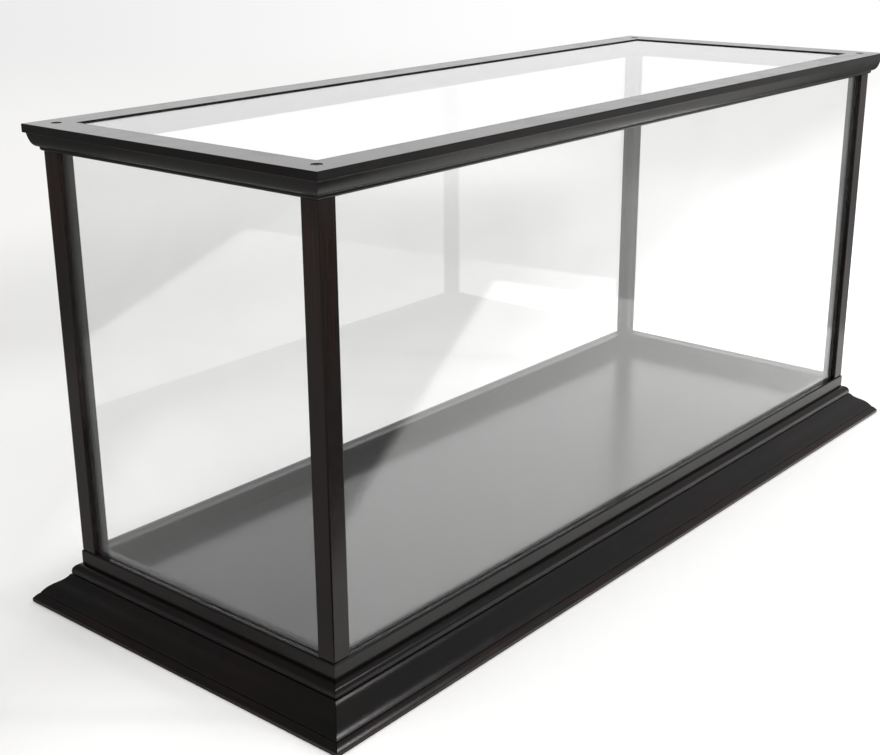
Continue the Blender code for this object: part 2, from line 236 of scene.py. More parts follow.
class Profile:
    """A closed outline in (outwards, up) points, drawn point by point and eased at its corners."""

    EASE_STEPS = 4
    STRAIGHT = math.radians(178.0)
    MOST_REACH = 0.45
    SUPPORTS = (0.00015, 0.0009)
    SUPPORT_ROOM = 2.5
    # how far the rubbed-arris marks and the painted shade in recesses reach along the outline
    WEAR_REACH = 0.0007

    def __init__(self) -> None:
        """Start with no points."""
        self._points: Outline = []
        self._eases: list = []

    def corner(self, out: float, up: float, ease: float) -> Profile:
        """Add a corner that is eased with a radius."""
        self._points.append(Vector((out, up)))
        self._eases.append(ease)
        return self

    def sweep(self, points: Iterable[Point]) -> Profile:
        """Add a stretch that is smooth already."""
        for out, up in points:
            if not self._points or (self._points[-1] - Vector((out, up))).length > SAME_POINT:
                self.corner(out, up, 0.0)
        return self

    def _setbacks(self) -> list:
        """How far each corner's easing reaches along its two sides."""
        setbacks = []
        for index, (point, ease) in enumerate(zip(self._points, self._eases)):
            before = self._points[index - 1] - point
            after = self._points[(index + 1) % len(self._points)] - point
            opening = before.angle(after)
            if ease <= 0.0 or opening > self.STRAIGHT:
                setbacks.append(0.0)
            else:
                setbacks.append(min(ease / math.tan(opening / 2), self.MOST_REACH * before.length,
                                    self.MOST_REACH * after.length))
        return setbacks

    def closed(self) -> Outline:
        """The outline with its corners eased and points close beside them that keep the flats flat.

        Returns:
            The outline's points.
        """
        setbacks = self._setbacks()
        outline: Outline = []
        for index, point in enumerate(self._points):
            after_index = (index + 1) % len(self._points)
            following = self._points[after_index]
            before, after = self._points[index - 1] - point, following - point
            along = after.normalized()
            reach, next_reach = setbacks[index], setbacks[after_index]
            eased = reach > 0.0
            outline += self._eased(point, before.normalized(), along, reach) if eased else [point.copy()]
            room = after.length - reach - next_reach
            steps = [step for step in self.SUPPORTS if room > self.SUPPORT_ROOM * step]
            start, end = point + along * reach, following - along * next_reach
            outline += [start + along * step for step in steps if reach > 0.0]
            outline += [end - along * step for step in reversed(steps) if next_reach > 0.0]
        return outline

    def _eased(self, point: Vector, before: Vector, after: Vector, reach: float) -> Outline:
        """Points on the arc that eases one corner."""
        half = before.angle(after) / 2
        radius = reach * math.tan(half)
        centre = point + (before + after).normalized() * (radius / math.sin(half))
        first, last = point + before * reach - centre, point + after * reach - centre
        turn = math.atan2(first.x * last.y - first.y * last.x, first.dot(last))
        eased = []
        for step in range(self.EASE_STEPS + 1):
            angle = turn * step / self.EASE_STEPS
            eased.append(centre + Vector((first.x * math.cos(angle) - first.y * math.sin(angle),
                                          first.x * math.sin(angle) + first.y * math.cos(angle))))
        return eased

    @classmethod
    def exposure(cls, outline: Outline) -> Tuple[list, list]:
        """How much each point of an outline stands proud or lies in a recess, from 0 to 1.

        Args:
            outline: the outline's points.

        Returns:
            Two lists: arrises that hands rub, and recesses that hold shade.
        """
        count = len(outline)
        area = sum(outline[index - 1].cross(outline[index]) for index in range(count))
        way = 1.0 if area > 0 else -1.0
        turns, lengths = [], []
        for index in range(count):
            before = outline[index] - outline[index - 1]
            after = outline[(index + 1) % count] - outline[index]
            turns.append(way * math.atan2(before.cross(after), before.dot(after)))
            lengths.append(after.length)
        arris, recess = [], []
        for index in range(count):
            total = turns[index]
            for direction in (1, -1):
                travelled, step = 0.0, index
                while True:
                    travelled += lengths[step if direction > 0 else step - 1]
                    step = (step + direction) % count
                    if travelled > cls.WEAR_REACH or step == index:
                        break
                    total += turns[step] * (1.0 - travelled / cls.WEAR_REACH)
            arris.append(min(1.0, max(0.0, total / (math.pi / 2))))
            recess.append(min(1.0, max(0.0, -total / (math.pi / 2))))
        return arris, recess


def arc(centre: Point, radius: float, start: float, end: float, steps: int = 14) -> Outline:
    """Points on an arc from one angle to another, in degrees."""
    angles = [math.radians(start + (end - start) * step / steps) for step in range(steps + 1)]
    return [(centre[0] + radius * math.cos(angle), centre[1] + radius * math.sin(angle)) for angle in angles]


def flowing(start: Point, end: Point, start_handle: Point, end_handle: Point, steps: int) -> Outline:
    """Points on a cubic curve whose handles are shares of its run and rise.

    Args:
        start: the first point.
        end: the last point.
        start_handle: shares of the run and the rise, from the start.
        end_handle: shares of the run and the rise, back from the end.
        steps: how many pieces the curve is cut into.

    Returns:
        The curve's points.
    """
    run, rise = end[0] - start[0], end[1] - start[1]
    second = (start[0] + start_handle[0] * run, start[1] + start_handle[1] * rise)
    third = (end[0] - end_handle[0] * run, end[1] - end_handle[1] * rise)
    corners = (start, second, third, end)
    points = []
    for step in range(steps + 1):
        t = step / steps
        weights = ((1 - t) ** 3, 3 * t * (1 - t) ** 2, 3 * t * t * (1 - t), t ** 3)
        points.append(tuple(sum(weight * corner[axis] for weight, corner in zip(weights, corners))
                            for axis in (0, 1)))
    return points


class MeshShop:
    """Makes meshes and turns live objects into plain meshes."""

    BLOCK_STEPS = 2

    @staticmethod
    def from_bmesh(name: str, bm: bmesh.types.BMesh, finish: Optional[bpy.types.Material] = None,
                   flat: bool = False) -> bpy.types.Mesh:
        """A plain mesh with its faces outwards.

        Args:
            name: the mesh's name.
            bm: the working mesh, which is freed.
            finish: its material.
            flat: whether every face is shaded flat, rather than smooth between sharp edges.

        Returns:
            The mesh.
        """
        MeshShop.face_outwards(bm)
        mesh = bpy.data.meshes.new(name)
        bm.to_mesh(mesh)
        bm.free()
        if flat:
            mesh.shade_flat()
        else:
            mesh.shade_smooth()
            mesh.set_sharp_from_angle(angle=SHARP_ANGLE)
        if finish:
            mesh.materials.append(finish)
        return mesh

    @staticmethod
    def face_outwards(bm: bmesh.types.BMesh) -> None:
        """Turn the faces of every closed shell outwards."""
        bmesh.ops.recalc_face_normals(bm, faces=bm.faces)
        waiting = set(bm.faces)
        while waiting:
            shell, reached = set(), [waiting.pop()]
            while reached:
                face = reached.pop()
                shell.add(face)
                near = {other for edge in face.edges for other in edge.link_faces} & waiting
                waiting -= near
                reached += near
            volume = sum(face.calc_center_median().dot(face.normal) * face.calc_area() for face in shell)
            if volume < 0:
                bmesh.ops.reverse_faces(bm, faces=list(shell))

    @classmethod
    def baked(cls, name: str, live: bpy.types.Object) -> bpy.types.Mesh:
        """The plain mesh of an object with modifiers, which is then removed.

        Args:
            name: the mesh's name.
            live: the object, linked to the scene.

        Returns:
            The evaluated mesh, closed and with its faces outwards.
        """
        graph = bpy.context.evaluated_depsgraph_get()
        mesh = bpy.data.meshes.new_from_object(live.evaluated_get(graph), preserve_all_data_layers=True,
                                               depsgraph=graph)
        finish = next(material for material in mesh.materials if material)
        old = live.data
        bpy.data.objects.remove(live, do_unlink=True)
        bpy.data.meshes.remove(old)
        bm = bmesh.new()
        bm.from_mesh(mesh)
        bpy.data.meshes.remove(mesh)
        bmesh.ops.remove_doubles(bm, verts=bm.verts, dist=SAME_POINT)
        for face in bm.faces:
            face.material_index = 0
        return cls.from_bmesh(name, bm, finish)

    @staticmethod
    def live(name: str, mesh: bpy.types.Mesh) -> bpy.types.Object:
        """An object in the scene, for modifiers to work on."""
        item = bpy.data.objects.new(name, mesh)
        bpy.context.scene.collection.objects.link(item)
        return item

    @staticmethod
    def skin(rings: Sequence[Sequence[Sequence[float]]]) -> bmesh.types.BMesh:
        """Close a body over rings of equally many points, capped at both ends."""
        bm = bmesh.new()
        loops = [[bm.verts.new(point) for point in ring] for ring in rings]
        for first, second in zip(loops, loops[1:]):
            for index in range(len(first)):
                following = (index + 1) % len(first)
                bm.faces.new((first[index], first[following], second[following], second[index]))
        bm.faces.new(loops[0])
        bm.faces.new(loops[-1])
        return bm

    @classmethod
    def ease_edges(cls, bm: bmesh.types.BMesh, ease: float) -> None:
        """Round all the edges of a working mesh."""
        bmesh.ops.bevel(bm, geom=list(bm.edges), offset=ease, segments=cls.BLOCK_STEPS, profile=0.5,
                        affect="EDGES")

    @classmethod
    def eased_block(cls, low: Sequence[float], high: Sequence[float], ease: float) -> bmesh.types.BMesh:
        """A block between two corners with all its edges rounded."""
        bm = bmesh.new()
        bmesh.ops.create_cube(bm, size=1.0)
        for vert in bm.verts:
            vert.co = Vector((low[axis] if vert.co[axis] < 0 else high[axis]) for axis in range(3))
        cls.ease_edges(bm, ease)
        return bm

    @staticmethod
    def mark(mesh: bpy.types.Mesh, outline: Outline, rings: int = 1) -> None:
        """Store how exposed each point is, on a mesh of one or more rings of an outline."""
        for name, values in zip(("arris", "recess"), Profile.exposure(outline)):
            mesh.attributes.new(name, "FLOAT", "POINT").data.foreach_set("value", values * rings)

    @classmethod
    def section(cls, outline: Outline) -> bpy.types.Mesh:
        """A flat face with an outline's points at (0, outwards, up)."""
        mesh = bpy.data.meshes.new("section")
        mesh.from_pydata([(0.0, point[0], point[1]) for point in outline], [], [list(range(len(outline)))])
        cls.mark(mesh, outline)
        return mesh

    @staticmethod
    def turned(outline: Sequence[Point], sides: int) -> bmesh.types.BMesh:
        """A body of revolution about Z from (radius, height) points, the first and last on the axis."""
        bm = bmesh.new()
        rings = []
        for radius, height in outline:
            angles = [2 * math.pi * side / sides for side in range(sides if radius > 0 else 1)]
            rings.append([bm.verts.new((radius * math.cos(angle), radius * math.sin(angle), height))
                          for angle in angles])
        for first, second in zip(rings, rings[1:]):
            for side in range(sides):
                following = (side + 1) % sides
                corners = [first[side % len(first)], first[following % len(first)],
                           second[following % len(second)], second[side % len(second)]]
                bm.faces.new(list(dict.fromkeys(corners)))
        return bm


class PieceTree:
    """A geometry node tree that makes pieces of one kind, with its values as named inputs."""

    NAME = ""
    GIVEN = ""
    INPUTS: Tuple[str, ...] = ()
    KINDS = {"Seed": "NodeSocketInt", "Finish": "NodeSocketMaterial"}

    def __init__(self) -> None:
        """Build the tree once."""
        self.tree = bpy.data.node_groups.new(self.NAME, "GeometryNodeTree")
        face = self.tree.interface
        face.new_socket("Geometry", in_out="OUTPUT", socket_type="NodeSocketGeometry")
        face.new_socket(self.GIVEN, in_out="INPUT", socket_type="NodeSocketGeometry")
        self.sockets = {}
        for name in (*self.INPUTS, "Finish"):
            kind = self.KINDS.get(name, "NodeSocketFloat")
            self.sockets[name] = face.new_socket(name, in_out="INPUT", socket_type=kind).identifier
        sketch = Sketch(self.tree)
        given = sketch.node("NodeGroupInput").outputs
        dressed = sketch.node("GeometryNodeSetMaterial", {
            "Geometry": self._draw(sketch, given), "Material": given["Finish"]})
        sketch.node("NodeGroupOutput", {"Geometry": dressed.outputs[0]})

    def _draw(self, sketch: Sketch, given: Any) -> Socket:
        """Draw the nodes from the inputs to the bare piece."""
        raise NotImplementedError

    def live(self, name: str, mesh: bpy.types.Mesh, values: Mapping[str, Feed]) -> bpy.types.Object:
        """A live object with the tree as its modifier.

        Args:
            name: the object's name.
            mesh: what the tree works on.
            values: the tree's inputs by name.

        Returns:
            The object.
        """
        item = MeshShop.live(name, mesh)
        maker = item.modifiers.new(name, "NODES")
        maker.node_group = self.tree
        for key, value in values.items():
            maker[self.sockets[key]] = value
        return item


class RunTree(PieceTree):
    """Geometry nodes that run a section along one side of a frame and cut its ends to the mitre."""

    NAME = "mitred_run"
    GIVEN = "Section"
    INPUTS = ("Half Run", "Reach", "Trim", "Turn")

    def _draw(self, sketch: Sketch, given: Any) -> Socket:
        """Extrude the section, cap it, move each end to its mitre and turn the rail to its side."""
        run = sketch.node("GeometryNodeExtrudeMesh", {
            "Mesh": given["Section"], "Offset": sketch.vector(X=1.0), "Offset Scale": 1.0,
            "Individual": False}, mode="FACES")
        cap = sketch.node("GeometryNodeFlipFaces", {"Mesh": given["Section"]})
        joined = sketch.node("GeometryNodeJoinGeometry")
        for part in (cap, run):
            sketch.feed(joined.inputs[0], part.outputs[0])
        whole = sketch.node("GeometryNodeMergeByDistance", {
            "Geometry": joined.outputs[0], "Distance": SAME_POINT})
        place = sketch.axes(sketch.node("GeometryNodeInputPosition").outputs[0])
        end_way = sketch.math("MULTIPLY_ADD", place["X"], 2.0, -1.0)
        half = sketch.math("SUBTRACT", sketch.math("ADD", given["Half Run"], place["Y"]), given["Trim"])
        across = sketch.math("MULTIPLY", sketch.math("ADD", given["Reach"], place["Y"]), -1.0)
        moved = sketch.node("GeometryNodeSetPosition", {
            "Geometry": whole.outputs[0],
            "Position": sketch.vector(X=sketch.math("MULTIPLY", end_way, half), Y=across, Z=place["Z"])})
        rotation = sketch.node("FunctionNodeEulerToRotation", {0: sketch.vector(Z=given["Turn"])})
        return sketch.node("GeometryNodeTransform", {
            "Geometry": moved.outputs[0], "Rotation": rotation.outputs[0]}).outputs[0]


@dataclass(frozen=True)
class Effects:
    """Node groups that more than one finish uses, each made once."""

    grain: bpy.types.NodeTree
    wear: bpy.types.NodeTree
    dust: bpy.types.NodeTree
    marks: bpy.types.NodeTree
    mitre: bpy.types.NodeTree

    @classmethod
    def make(cls) -> Effects:
        """All the groups."""
        return cls(cls._group("wood_grain", cls._grain, "Scale"),
                   # edge wear on arrises, together with painted shade in recesses
                   cls._group("edge_wear", cls._wear, "Scale", "Arris", "Recess"),
                   cls._group("settled_dust", cls._dust, "Scale"),
                   cls._group("hand_marks", cls._marks, "Scale"),
                   cls._group("mitre_joint", cls._mitre, "Run Over Depth"))

    @staticmethod
    def _group(name: str, draw: Callable[[Sketch, Any], Dict[str, Socket]],
               *values: str) -> bpy.types.NodeTree:
        """Make a group.

        Args:
            name: the group's name.
            draw: draws the nodes from the inputs and gives the outputs by name.
            values: names of the inputs besides Vector.

        Returns:
            The group.
        """
        tree = bpy.data.node_groups.new(name, "ShaderNodeTree")
        tree.interface.new_socket("Vector", in_out="INPUT", socket_type="NodeSocketVector")
        for label in values:
            tree.interface.new_socket(label, in_out="INPUT", socket_type="NodeSocketFloat")
        sketch = Sketch(tree)
        outputs = draw(sketch, sketch.node("NodeGroupInput").outputs)
        for label in outputs:
            tree.interface.new_socket(label, in_out="OUTPUT", socket_type="NodeSocketFloat")
        sketch.node("NodeGroupOutput", outputs)
        return tree

    @staticmethod
    def _grain(sketch: Sketch, given: Any) -> Dict[str, Socket]:
        """Streaks and open pores along the grain."""
        place = sketch.scaled(given["Vector"], given["Scale"])
        cloud = sketch.noise(place, 1.0, detail=5.0, distortion=0.7, roughness=0.62)
        streak = sketch.ramp(cloud, 0.34, 0.72)
        pores = sketch.ramp(sketch.noise(place, 7.5, distortion=0.2), 0.60, 0.74)
        height = sketch.math("SUBTRACT", sketch.math("MULTIPLY", streak, 0.25), pores)
        return {"Streak": streak, "Pores": pores, "Height": height}

    @staticmethod
    def _wear(sketch: Sketch, given: Any) -> Dict[str, Socket]:
        """Rubbed arrises and painted shade in recesses, broken up by a cloud."""
        cloud = sketch.noise(given["Vector"], given["Scale"], detail=4.0)
        uneven = sketch.math("MULTIPLY", given["Arris"], sketch.math("MULTIPLY_ADD", cloud, 1.6, 0.1))
        # Shade is painted shade in recesses, taken from the recess attribute
        return {"Rub": sketch.ramp(uneven, 0.30, 1.0), "Shade": sketch.ramp(given["Recess"], 0.10, 0.8)}

    @staticmethod
    def _dust(sketch: Sketch, given: Any) -> Dict[str, Socket]:
        """A thin haze of dust and a few specks on what faces up."""
        normal = sketch.node("ShaderNodeNewGeometry").outputs["Normal"]
        facing = sketch.ramp(sketch.dot(normal, (0.0, 0.0, 1.0)), 0.3, 0.95)
        place = sketch.scaled(given["Vector"], given["Scale"])
        cloud = sketch.noise(place, 1.0, detail=6.0, distortion=0.8, roughness=0.65)
        haze = sketch.math("MULTIPLY", sketch.ramp(cloud, 0.36, 0.78), facing)
        cells = sketch.node("ShaderNodeTexVoronoi", {"Vector": place, "Scale": 4.0})
        chosen = sketch.node("ShaderNodeSeparateColor", {0: cells.outputs["Color"]})
        few = sketch.math("GREATER_THAN", chosen.outputs["Red"], 0.72)
        size = sketch.math("MULTIPLY_ADD", chosen.outputs["Green"], 0.016, 0.008)
        dots = sketch.math("LESS_THAN", cells.outputs["Distance"], size)
        return {"Haze": haze, "Specks": sketch.math("MULTIPLY", sketch.math("MULTIPLY", dots, few), facing)}

    @staticmethod
    def _marks(sketch: Sketch, given: Any) -> Dict[str, Socket]:
        """Wiped and handled patches that change the sheen."""
        place = sketch.scaled(given["Vector"], given["Scale"])
        smear = sketch.ramp(sketch.noise(place, 1.0, detail=4.0, distortion=1.6), 0.44, 0.72)
        upright = sketch.stretched(place, (1.0, 1.0, 0.2))
        return {"Smear": smear, "Wipe": sketch.noise(upright, 6.0, detail=3.0, distortion=0.5)}

    @staticmethod
    def _mitre(sketch: Sketch, given: Any) -> Dict[str, Socket]:
        """A hairline where two rails of a mitred frame meet."""
        place = sketch.axes(given["Vector"])
        along, across = sketch.math("ABSOLUTE", place["X"]), sketch.math("ABSOLUTE", place["Y"])
        offset = sketch.math("SUBTRACT", sketch.math("SUBTRACT", along, across), given["Run Over Depth"])
        away = sketch.ramp(sketch.math("ABSOLUTE", offset), 0.0002, 0.0012)
        return {"Joint": sketch.math("SUBTRACT", 1.0, away)}


@dataclass(frozen=True)
class Dust:
    """Dust that has settled on a finish."""

    colour: Colour
    scale: float
    haze: float
    specks: float

    def over(self, sketch: Sketch, place: Socket, effects: Effects, base: Socket) -> Socket:
        """A colour with the dust on it."""
        settled = sketch.group(effects.dust, {"Vector": place, "Scale": self.scale})
        specks = sketch.math("MULTIPLY", settled["Specks"], self.specks)
        share = sketch.math("MULTIPLY_ADD", settled["Haze"], self.haze, specks)
        return sketch.blend(share, base, self.colour)


@dataclass(frozen=True)
class Relief:
    """How deep and how strongly a height shows in a finish."""

    depth: float
    strength: float

    def normal(self, sketch: Sketch, height: Socket) -> Socket:
        """A normal that follows the height."""
        inputs = {"Height": height, "Distance": self.depth, "Strength": self.strength}
        return sketch.node("ShaderNodeBump", inputs).outputs[0]


class Finish:
    """What every finish starts from: a material with one Principled shader."""

    TITLE = ""

    @property
    def title(self) -> str:
        """The material's name."""
        return self.TITLE

    def material(self, effects: Effects) -> bpy.types.Material:
        """Draw the finish.

        Args:
            effects: the shared node groups.

        Returns:
            The material.
        """
        made = bpy.data.materials.new(self.title)
        made.use_nodes = True
        sketch = Sketch(made.node_tree)
        shader = made.node_tree.nodes["Principled BSDF"]
        place = sketch.node("ShaderNodeTexCoord").outputs["Object"]
        for name, value in self._looks(sketch, place, effects).items():
            sketch.feed(shader.inputs[name], value)
        return made

    def _looks(self, sketch: Sketch, place: Socket, effects: Effects) -> Dict[str, Feed]:
        """What feeds the shader, by the names of its inputs."""
        raise NotImplementedError


@dataclass(frozen=True)
class DarkLacquer(Finish):
    """Near-black red-brown stain on mahogany under satin lacquer, with the grain along the piece."""

    grain: Grain
    warmth: float = 0.15
    least_warmth: float = 0.03
    stain: Colour = (0.0046, 0.0041, 0.0038)
    heart: Colour = (0.034, 0.0105, 0.0075)
    # colour of open pores and mitre joints, also used for painted shade in recesses
    shade: Colour = (0.0010, 0.0009, 0.0009)
    dust: Dust = Dust((0.30, 0.29, 0.28), 14.0, 0.006, 0.35)
    relief: Relief = Relief(0.00004, 0.35)
    roughness: Point = (0.15, 0.21)
    smear_roughness: float = 0.05
    shade_roughness: float = 0.25
    rub_roughness: float = 0.06
    sheen_level: float = 0.205
    scuff: float = 0.12
    scuff_span: Point = (0.006, 0.012)
    rub_red: float = 0.12
    pore_shade: float = 0.55
    run_over_depth: float = 0.297
    grain_scale: float = 230.0
    wear_scale: float = 70.0
    marks_scale: float = 16.0
    patch_shape: Place = (1.0, 1.0, 1.6)
    patch_scale: float = 5.0
    patch_span: Point = (0.46, 0.70)

    @property
    def title(self) -> str:
        """The material's name."""
        return f"dark_lacquer_{self.grain.name.lower()}"

    def _looks(self, sketch: Sketch, place: Socket, effects: Effects) -> Dict[str, Feed]:
        """Stained grain, redder where it is scuffed or rubbed, with painted shade in recesses and dark pores
        and joints.
        """
        grain = sketch.group(effects.grain, {
            "Vector": sketch.stretched(place, self.grain.value), "Scale": self.grain_scale})
        arris, recess = (sketch.node("ShaderNodeAttribute", attribute_name=name).outputs["Fac"]
                         for name in ("arris", "recess"))
        wear = sketch.group(effects.wear, {
            "Arris": arris, "Recess": recess, "Vector": place, "Scale": self.wear_scale})
        marks = sketch.group(effects.marks, {"Vector": place, "Scale": self.marks_scale})
        joint = sketch.group(effects.mitre, {"Vector": place, "Run Over Depth": self.run_over_depth})["Joint"]

        cloud = sketch.noise(sketch.stretched(place, self.patch_shape), self.patch_scale, distortion=0.4)
        patches = sketch.ramp(cloud, *self.patch_span)
        scuffed = sketch.spread(sketch.ramp(sketch.axes(place)["Z"], *self.scuff_span), self.scuff, 0.0)
        least = sketch.math("ADD", scuffed, self.least_warmth)
        warm = sketch.math("MULTIPLY_ADD", patches, self.warmth, least)
        streaks = sketch.math("MULTIPLY", grain["Streak"], warm)
        red = sketch.math("MULTIPLY_ADD", wear["Rub"], self.rub_red, streaks)
        pores = sketch.math("MULTIPLY", grain["Pores"], self.pore_shade)
        # pores and mitre joints are real dark marks; the Shade mask paints shade into recesses
        dark = sketch.math("MAXIMUM", pores, sketch.math("MAXIMUM", wear["Shade"], joint))
        base = sketch.blend(dark, sketch.blend(red, self.stain, self.heart), self.shade)

        rough = sketch.spread(marks["Wipe"], *self.roughness)
        for mask, more in ((marks["Smear"], self.smear_roughness), (wear["Shade"], self.shade_roughness),
                           (wear["Rub"], self.rub_roughness)):
            rough = sketch.math("MULTIPLY_ADD", mask, more, rough)
        return {"Base Color": self.dust.over(sketch, place, effects, base), "Roughness": rough,
                "Normal": self.relief.normal(sketch, grain["Height"]), "Specular IOR Level": self.sheen_level}


@dataclass(frozen=True)
class SatinBoard(Finish):
    """Satin black lacquer on a flat board, with worn flecks, dust and a few specks."""

    TITLE = "satin_black_board"

    black: Colour = (0.012, 0.012, 0.013)
    worn: Colour = (0.030, 0.029, 0.028)
    dust: Dust = Dust((0.62, 0.61, 0.60), 7.0, 0.008, 0.9)
    roughness: Point = (0.20, 0.24)
    cloud_scale: float = 3.0
    fleck_scale: float = 900.0
    fleck_span: Point = (0.35, 0.85)
    fleck_roughness: float = 0.03

    def _looks(self, sketch: Sketch, place: Socket, effects: Effects) -> Dict[str, Feed]:
        """Flecks a little paler and rougher than the rest."""
        fleck = sketch.noise(place, self.fleck_scale, detail=3.0)
        base = sketch.blend(sketch.ramp(fleck, *self.fleck_span), self.black, self.worn)
        rough = sketch.spread(sketch.noise(place, self.cloud_scale), *self.roughness)
        return {"Base Color": self.dust.over(sketch, place, effects, base),
                "Roughness": sketch.math("MULTIPLY_ADD", fleck, self.fleck_roughness, rough)}


@dataclass(frozen=True)
class ClearAcrylic(Finish):
    """Clear polished acrylic sheet with faint wipe marks under a thin film of dust."""

    TITLE = "clear_acrylic"

    clear: Colour = (0.985, 0.992, 0.990)
    hazy: Colour = (0.965, 0.972, 0.972)
    ior: float = 1.49
    most_rough: float = 0.012
    film: float = 0.02
    marks_scale: float = 5.0

    def material(self, effects: Effects) -> bpy.types.Material:
        """Draw the finish, which casts no shadow of its own.

        Args:
            effects: the shared node groups.

        Returns:
            The material.
        """
        made = super().material(effects)
        sketch, nodes = Sketch(made.node_tree), made.node_tree.nodes
        mixed = sketch.node("ShaderNodeMixShader", {
            0: sketch.node("ShaderNodeLightPath").outputs["Is Shadow Ray"],
            1: nodes["Principled BSDF"].outputs[0], 2: sketch.node("ShaderNodeBsdfTransparent").outputs[0]})
        sketch.feed(nodes["Material Output"].inputs["Surface"], mixed.outputs[0])
        return made

    def _looks(self, sketch: Sketch, place: Socket, effects: Effects) -> Dict[str, Feed]:
        """Clear, and a little hazy and rough where it is smeared."""
        smear = sketch.group(effects.marks, {"Vector": place, "Scale": self.marks_scale})["Smear"]
        return {"Base Color": sketch.blend(smear, self.clear, self.hazy),
                "Roughness": sketch.math("MULTIPLY", smear, self.most_rough),
                "IOR": self.ior, "Transmission Weight": 1.0 - self.film}


@dataclass(frozen=True)
class BlackSteel(Finish):
    """Blackened steel, bright where a driver has rubbed it."""

    TITLE = "blackened_steel"

    black: Colour = (0.010, 0.010, 0.011)
    rubbed: Colour = (0.045, 0.043, 0.042)
    roughness: Point = (0.36, 0.50)
    relief: Relief = Relief(0.00003, 0.3)
    metallic: float = 0.35
    sheen_level: float = 0.50
    marks_scale: float = 420.0
    rub_scale: float = 900.0
    rub_span: Point = (0.55, 0.75)

    def _looks(self, sketch: Sketch, place: Socket, effects: Effects) -> Dict[str, Feed]:
        """Black with rubbed patches and an uneven face."""
        marks = sketch.group(effects.marks, {"Vector": place, "Scale": self.marks_scale})
        rub = sketch.ramp(sketch.noise(place, self.rub_scale, detail=3.0), *self.rub_span)
        return {"Base Color": sketch.blend(rub, self.black, self.rubbed),
                "Roughness": sketch.spread(marks["Wipe"], *self.roughness),
                "Normal": self.relief.normal(sketch, marks["Smear"]),
                "Metallic": self.metallic, "Specular IOR Level": self.sheen_level}


@dataclass(frozen=True)
class RawSoftwood(Finish):
    """Unfinished softwood with early and late wood in its grain."""

    TITLE = "raw_softwood"

    early: Colour = (0.50, 0.36, 0.22)
    late: Colour = (0.27, 0.155, 0.075)
    grime: Colour = (0.16, 0.12, 0.09)
    grime_share: float = 0.25
    roughness: Point = (0.62, 0.82)
    relief: Relief = Relief(0.0002, 0.5)
    grain_scale: float = 170.0
    marks_scale: float = 40.0

    def _looks(self, sketch: Sketch, place: Socket, effects: Effects) -> Dict[str, Feed]:
        """Bare grain with a little grime."""
        grain = sketch.group(effects.grain, {
            "Vector": sketch.stretched(place, Grain.ALONG_X.value), "Scale": self.grain_scale})
        marks = sketch.group(effects.marks, {"Vector": place, "Scale": self.marks_scale})
        base = sketch.blend(grain["Streak"], self.early, self.late)
        grime = sketch.math("MULTIPLY", marks["Smear"], self.grime_share)
        return {"Base Color": sketch.blend(grime, base, self.grime),
                "Roughness": sketch.spread(grain["Pores"], *self.roughness),
                "Normal": self.relief.normal(sketch, grain["Height"])}


class Finishes:
    """All the finishes of the case, each drawn once."""

    WOODS = (DarkLacquer(Grain.ALONG_X, scuff=0.45), DarkLacquer(Grain.ALONG_Y),
             DarkLacquer(Grain.ALONG_Z, warmth=0.30, stain=(0.0085, 0.0060, 0.0054), scuff=0.45,
                         scuff_span=(0.430, 0.300)))
    OTHERS = {Slot.BLACK_BOARD: SatinBoard(), Slot.CLEAR_PANE: ClearAcrylic(), Slot.BLACK_STEEL: BlackSteel(),
              Slot.RAW_WOOD: RawSoftwood()}

    def __init__(self) -> None:
        """Make the shared effects and the materials."""
        effects = Effects.make()
        self.wood = {wood.grain: wood.material(effects) for wood in self.WOODS}
        self.plain = {slot: finish.material(effects) for slot, finish in self.OTHERS.items()}

    def rail(self, side: Side) -> bpy.types.Material:
        """The lacquer for a rail on one side."""
        return self.wood[Grain.ALONG_X if side.runs_along_x else Grain.ALONG_Y]


class Bench:
    """Where finished pieces go into the scene and onto their body."""

    def __init__(self, finishes: Finishes) -> None:
        """Keep the finishes and make the tree that runs the rails."""
        self.finishes = finishes
        self.runs = RunTree()
        self.count = 0

    def put(self, name: str, mesh: bpy.types.Mesh, body: Body, nodes: Sequence[str]) -> None:
        """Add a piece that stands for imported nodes.

        Args:
            name: the piece's name.
            mesh: its mesh, in place and with its material.
            body: the body it moves with.
            nodes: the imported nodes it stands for.
        """
        mesh.name = name
        piece = bpy.data.objects.new(name, mesh)
        bpy.context.scene.collection.objects.link(piece)
        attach(piece, body.value)
        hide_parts(*nodes)
        self.count += 1
        LOG.info("%2d %s on %s: %d faces", self.count, name, body.value, len(mesh.polygons))

    def put_solid(self, name: str, bm: bmesh.types.BMesh, body: Body, slot: Slot, node: str,
                  flat: bool = True) -> None:
        """Add a piece from a working mesh, in the finish of its slot."""
        self.put(name, MeshShop.from_bmesh(name, bm, self.finishes.plain[slot], flat), body, [node])


@dataclass(frozen=True)
class CaseSize:
    """Overall size of the case and the fits between its pieces."""

    length: float = 1.000
    depth: float = 0.406
    height: float = 0.4563
    glue_gap: float = 0.0003
    pane_clearance: float = 0.0002
    bore_clearance: float = 0.0003
    pane_thickness: float = 0.0030
    pane_setback: float = 0.0050
    pane_edge: float = 0.0003

    @property
    def mitre_trim(self) -> float:
        """What each mitred end is cut back, so that the joint closes to a hairline."""
        return self.glue_gap / 10

    @property
    def groove_half(self) -> float:
        """Half the width of a groove for a pane."""
        return self.pane_thickness / 2 + self.pane_clearance


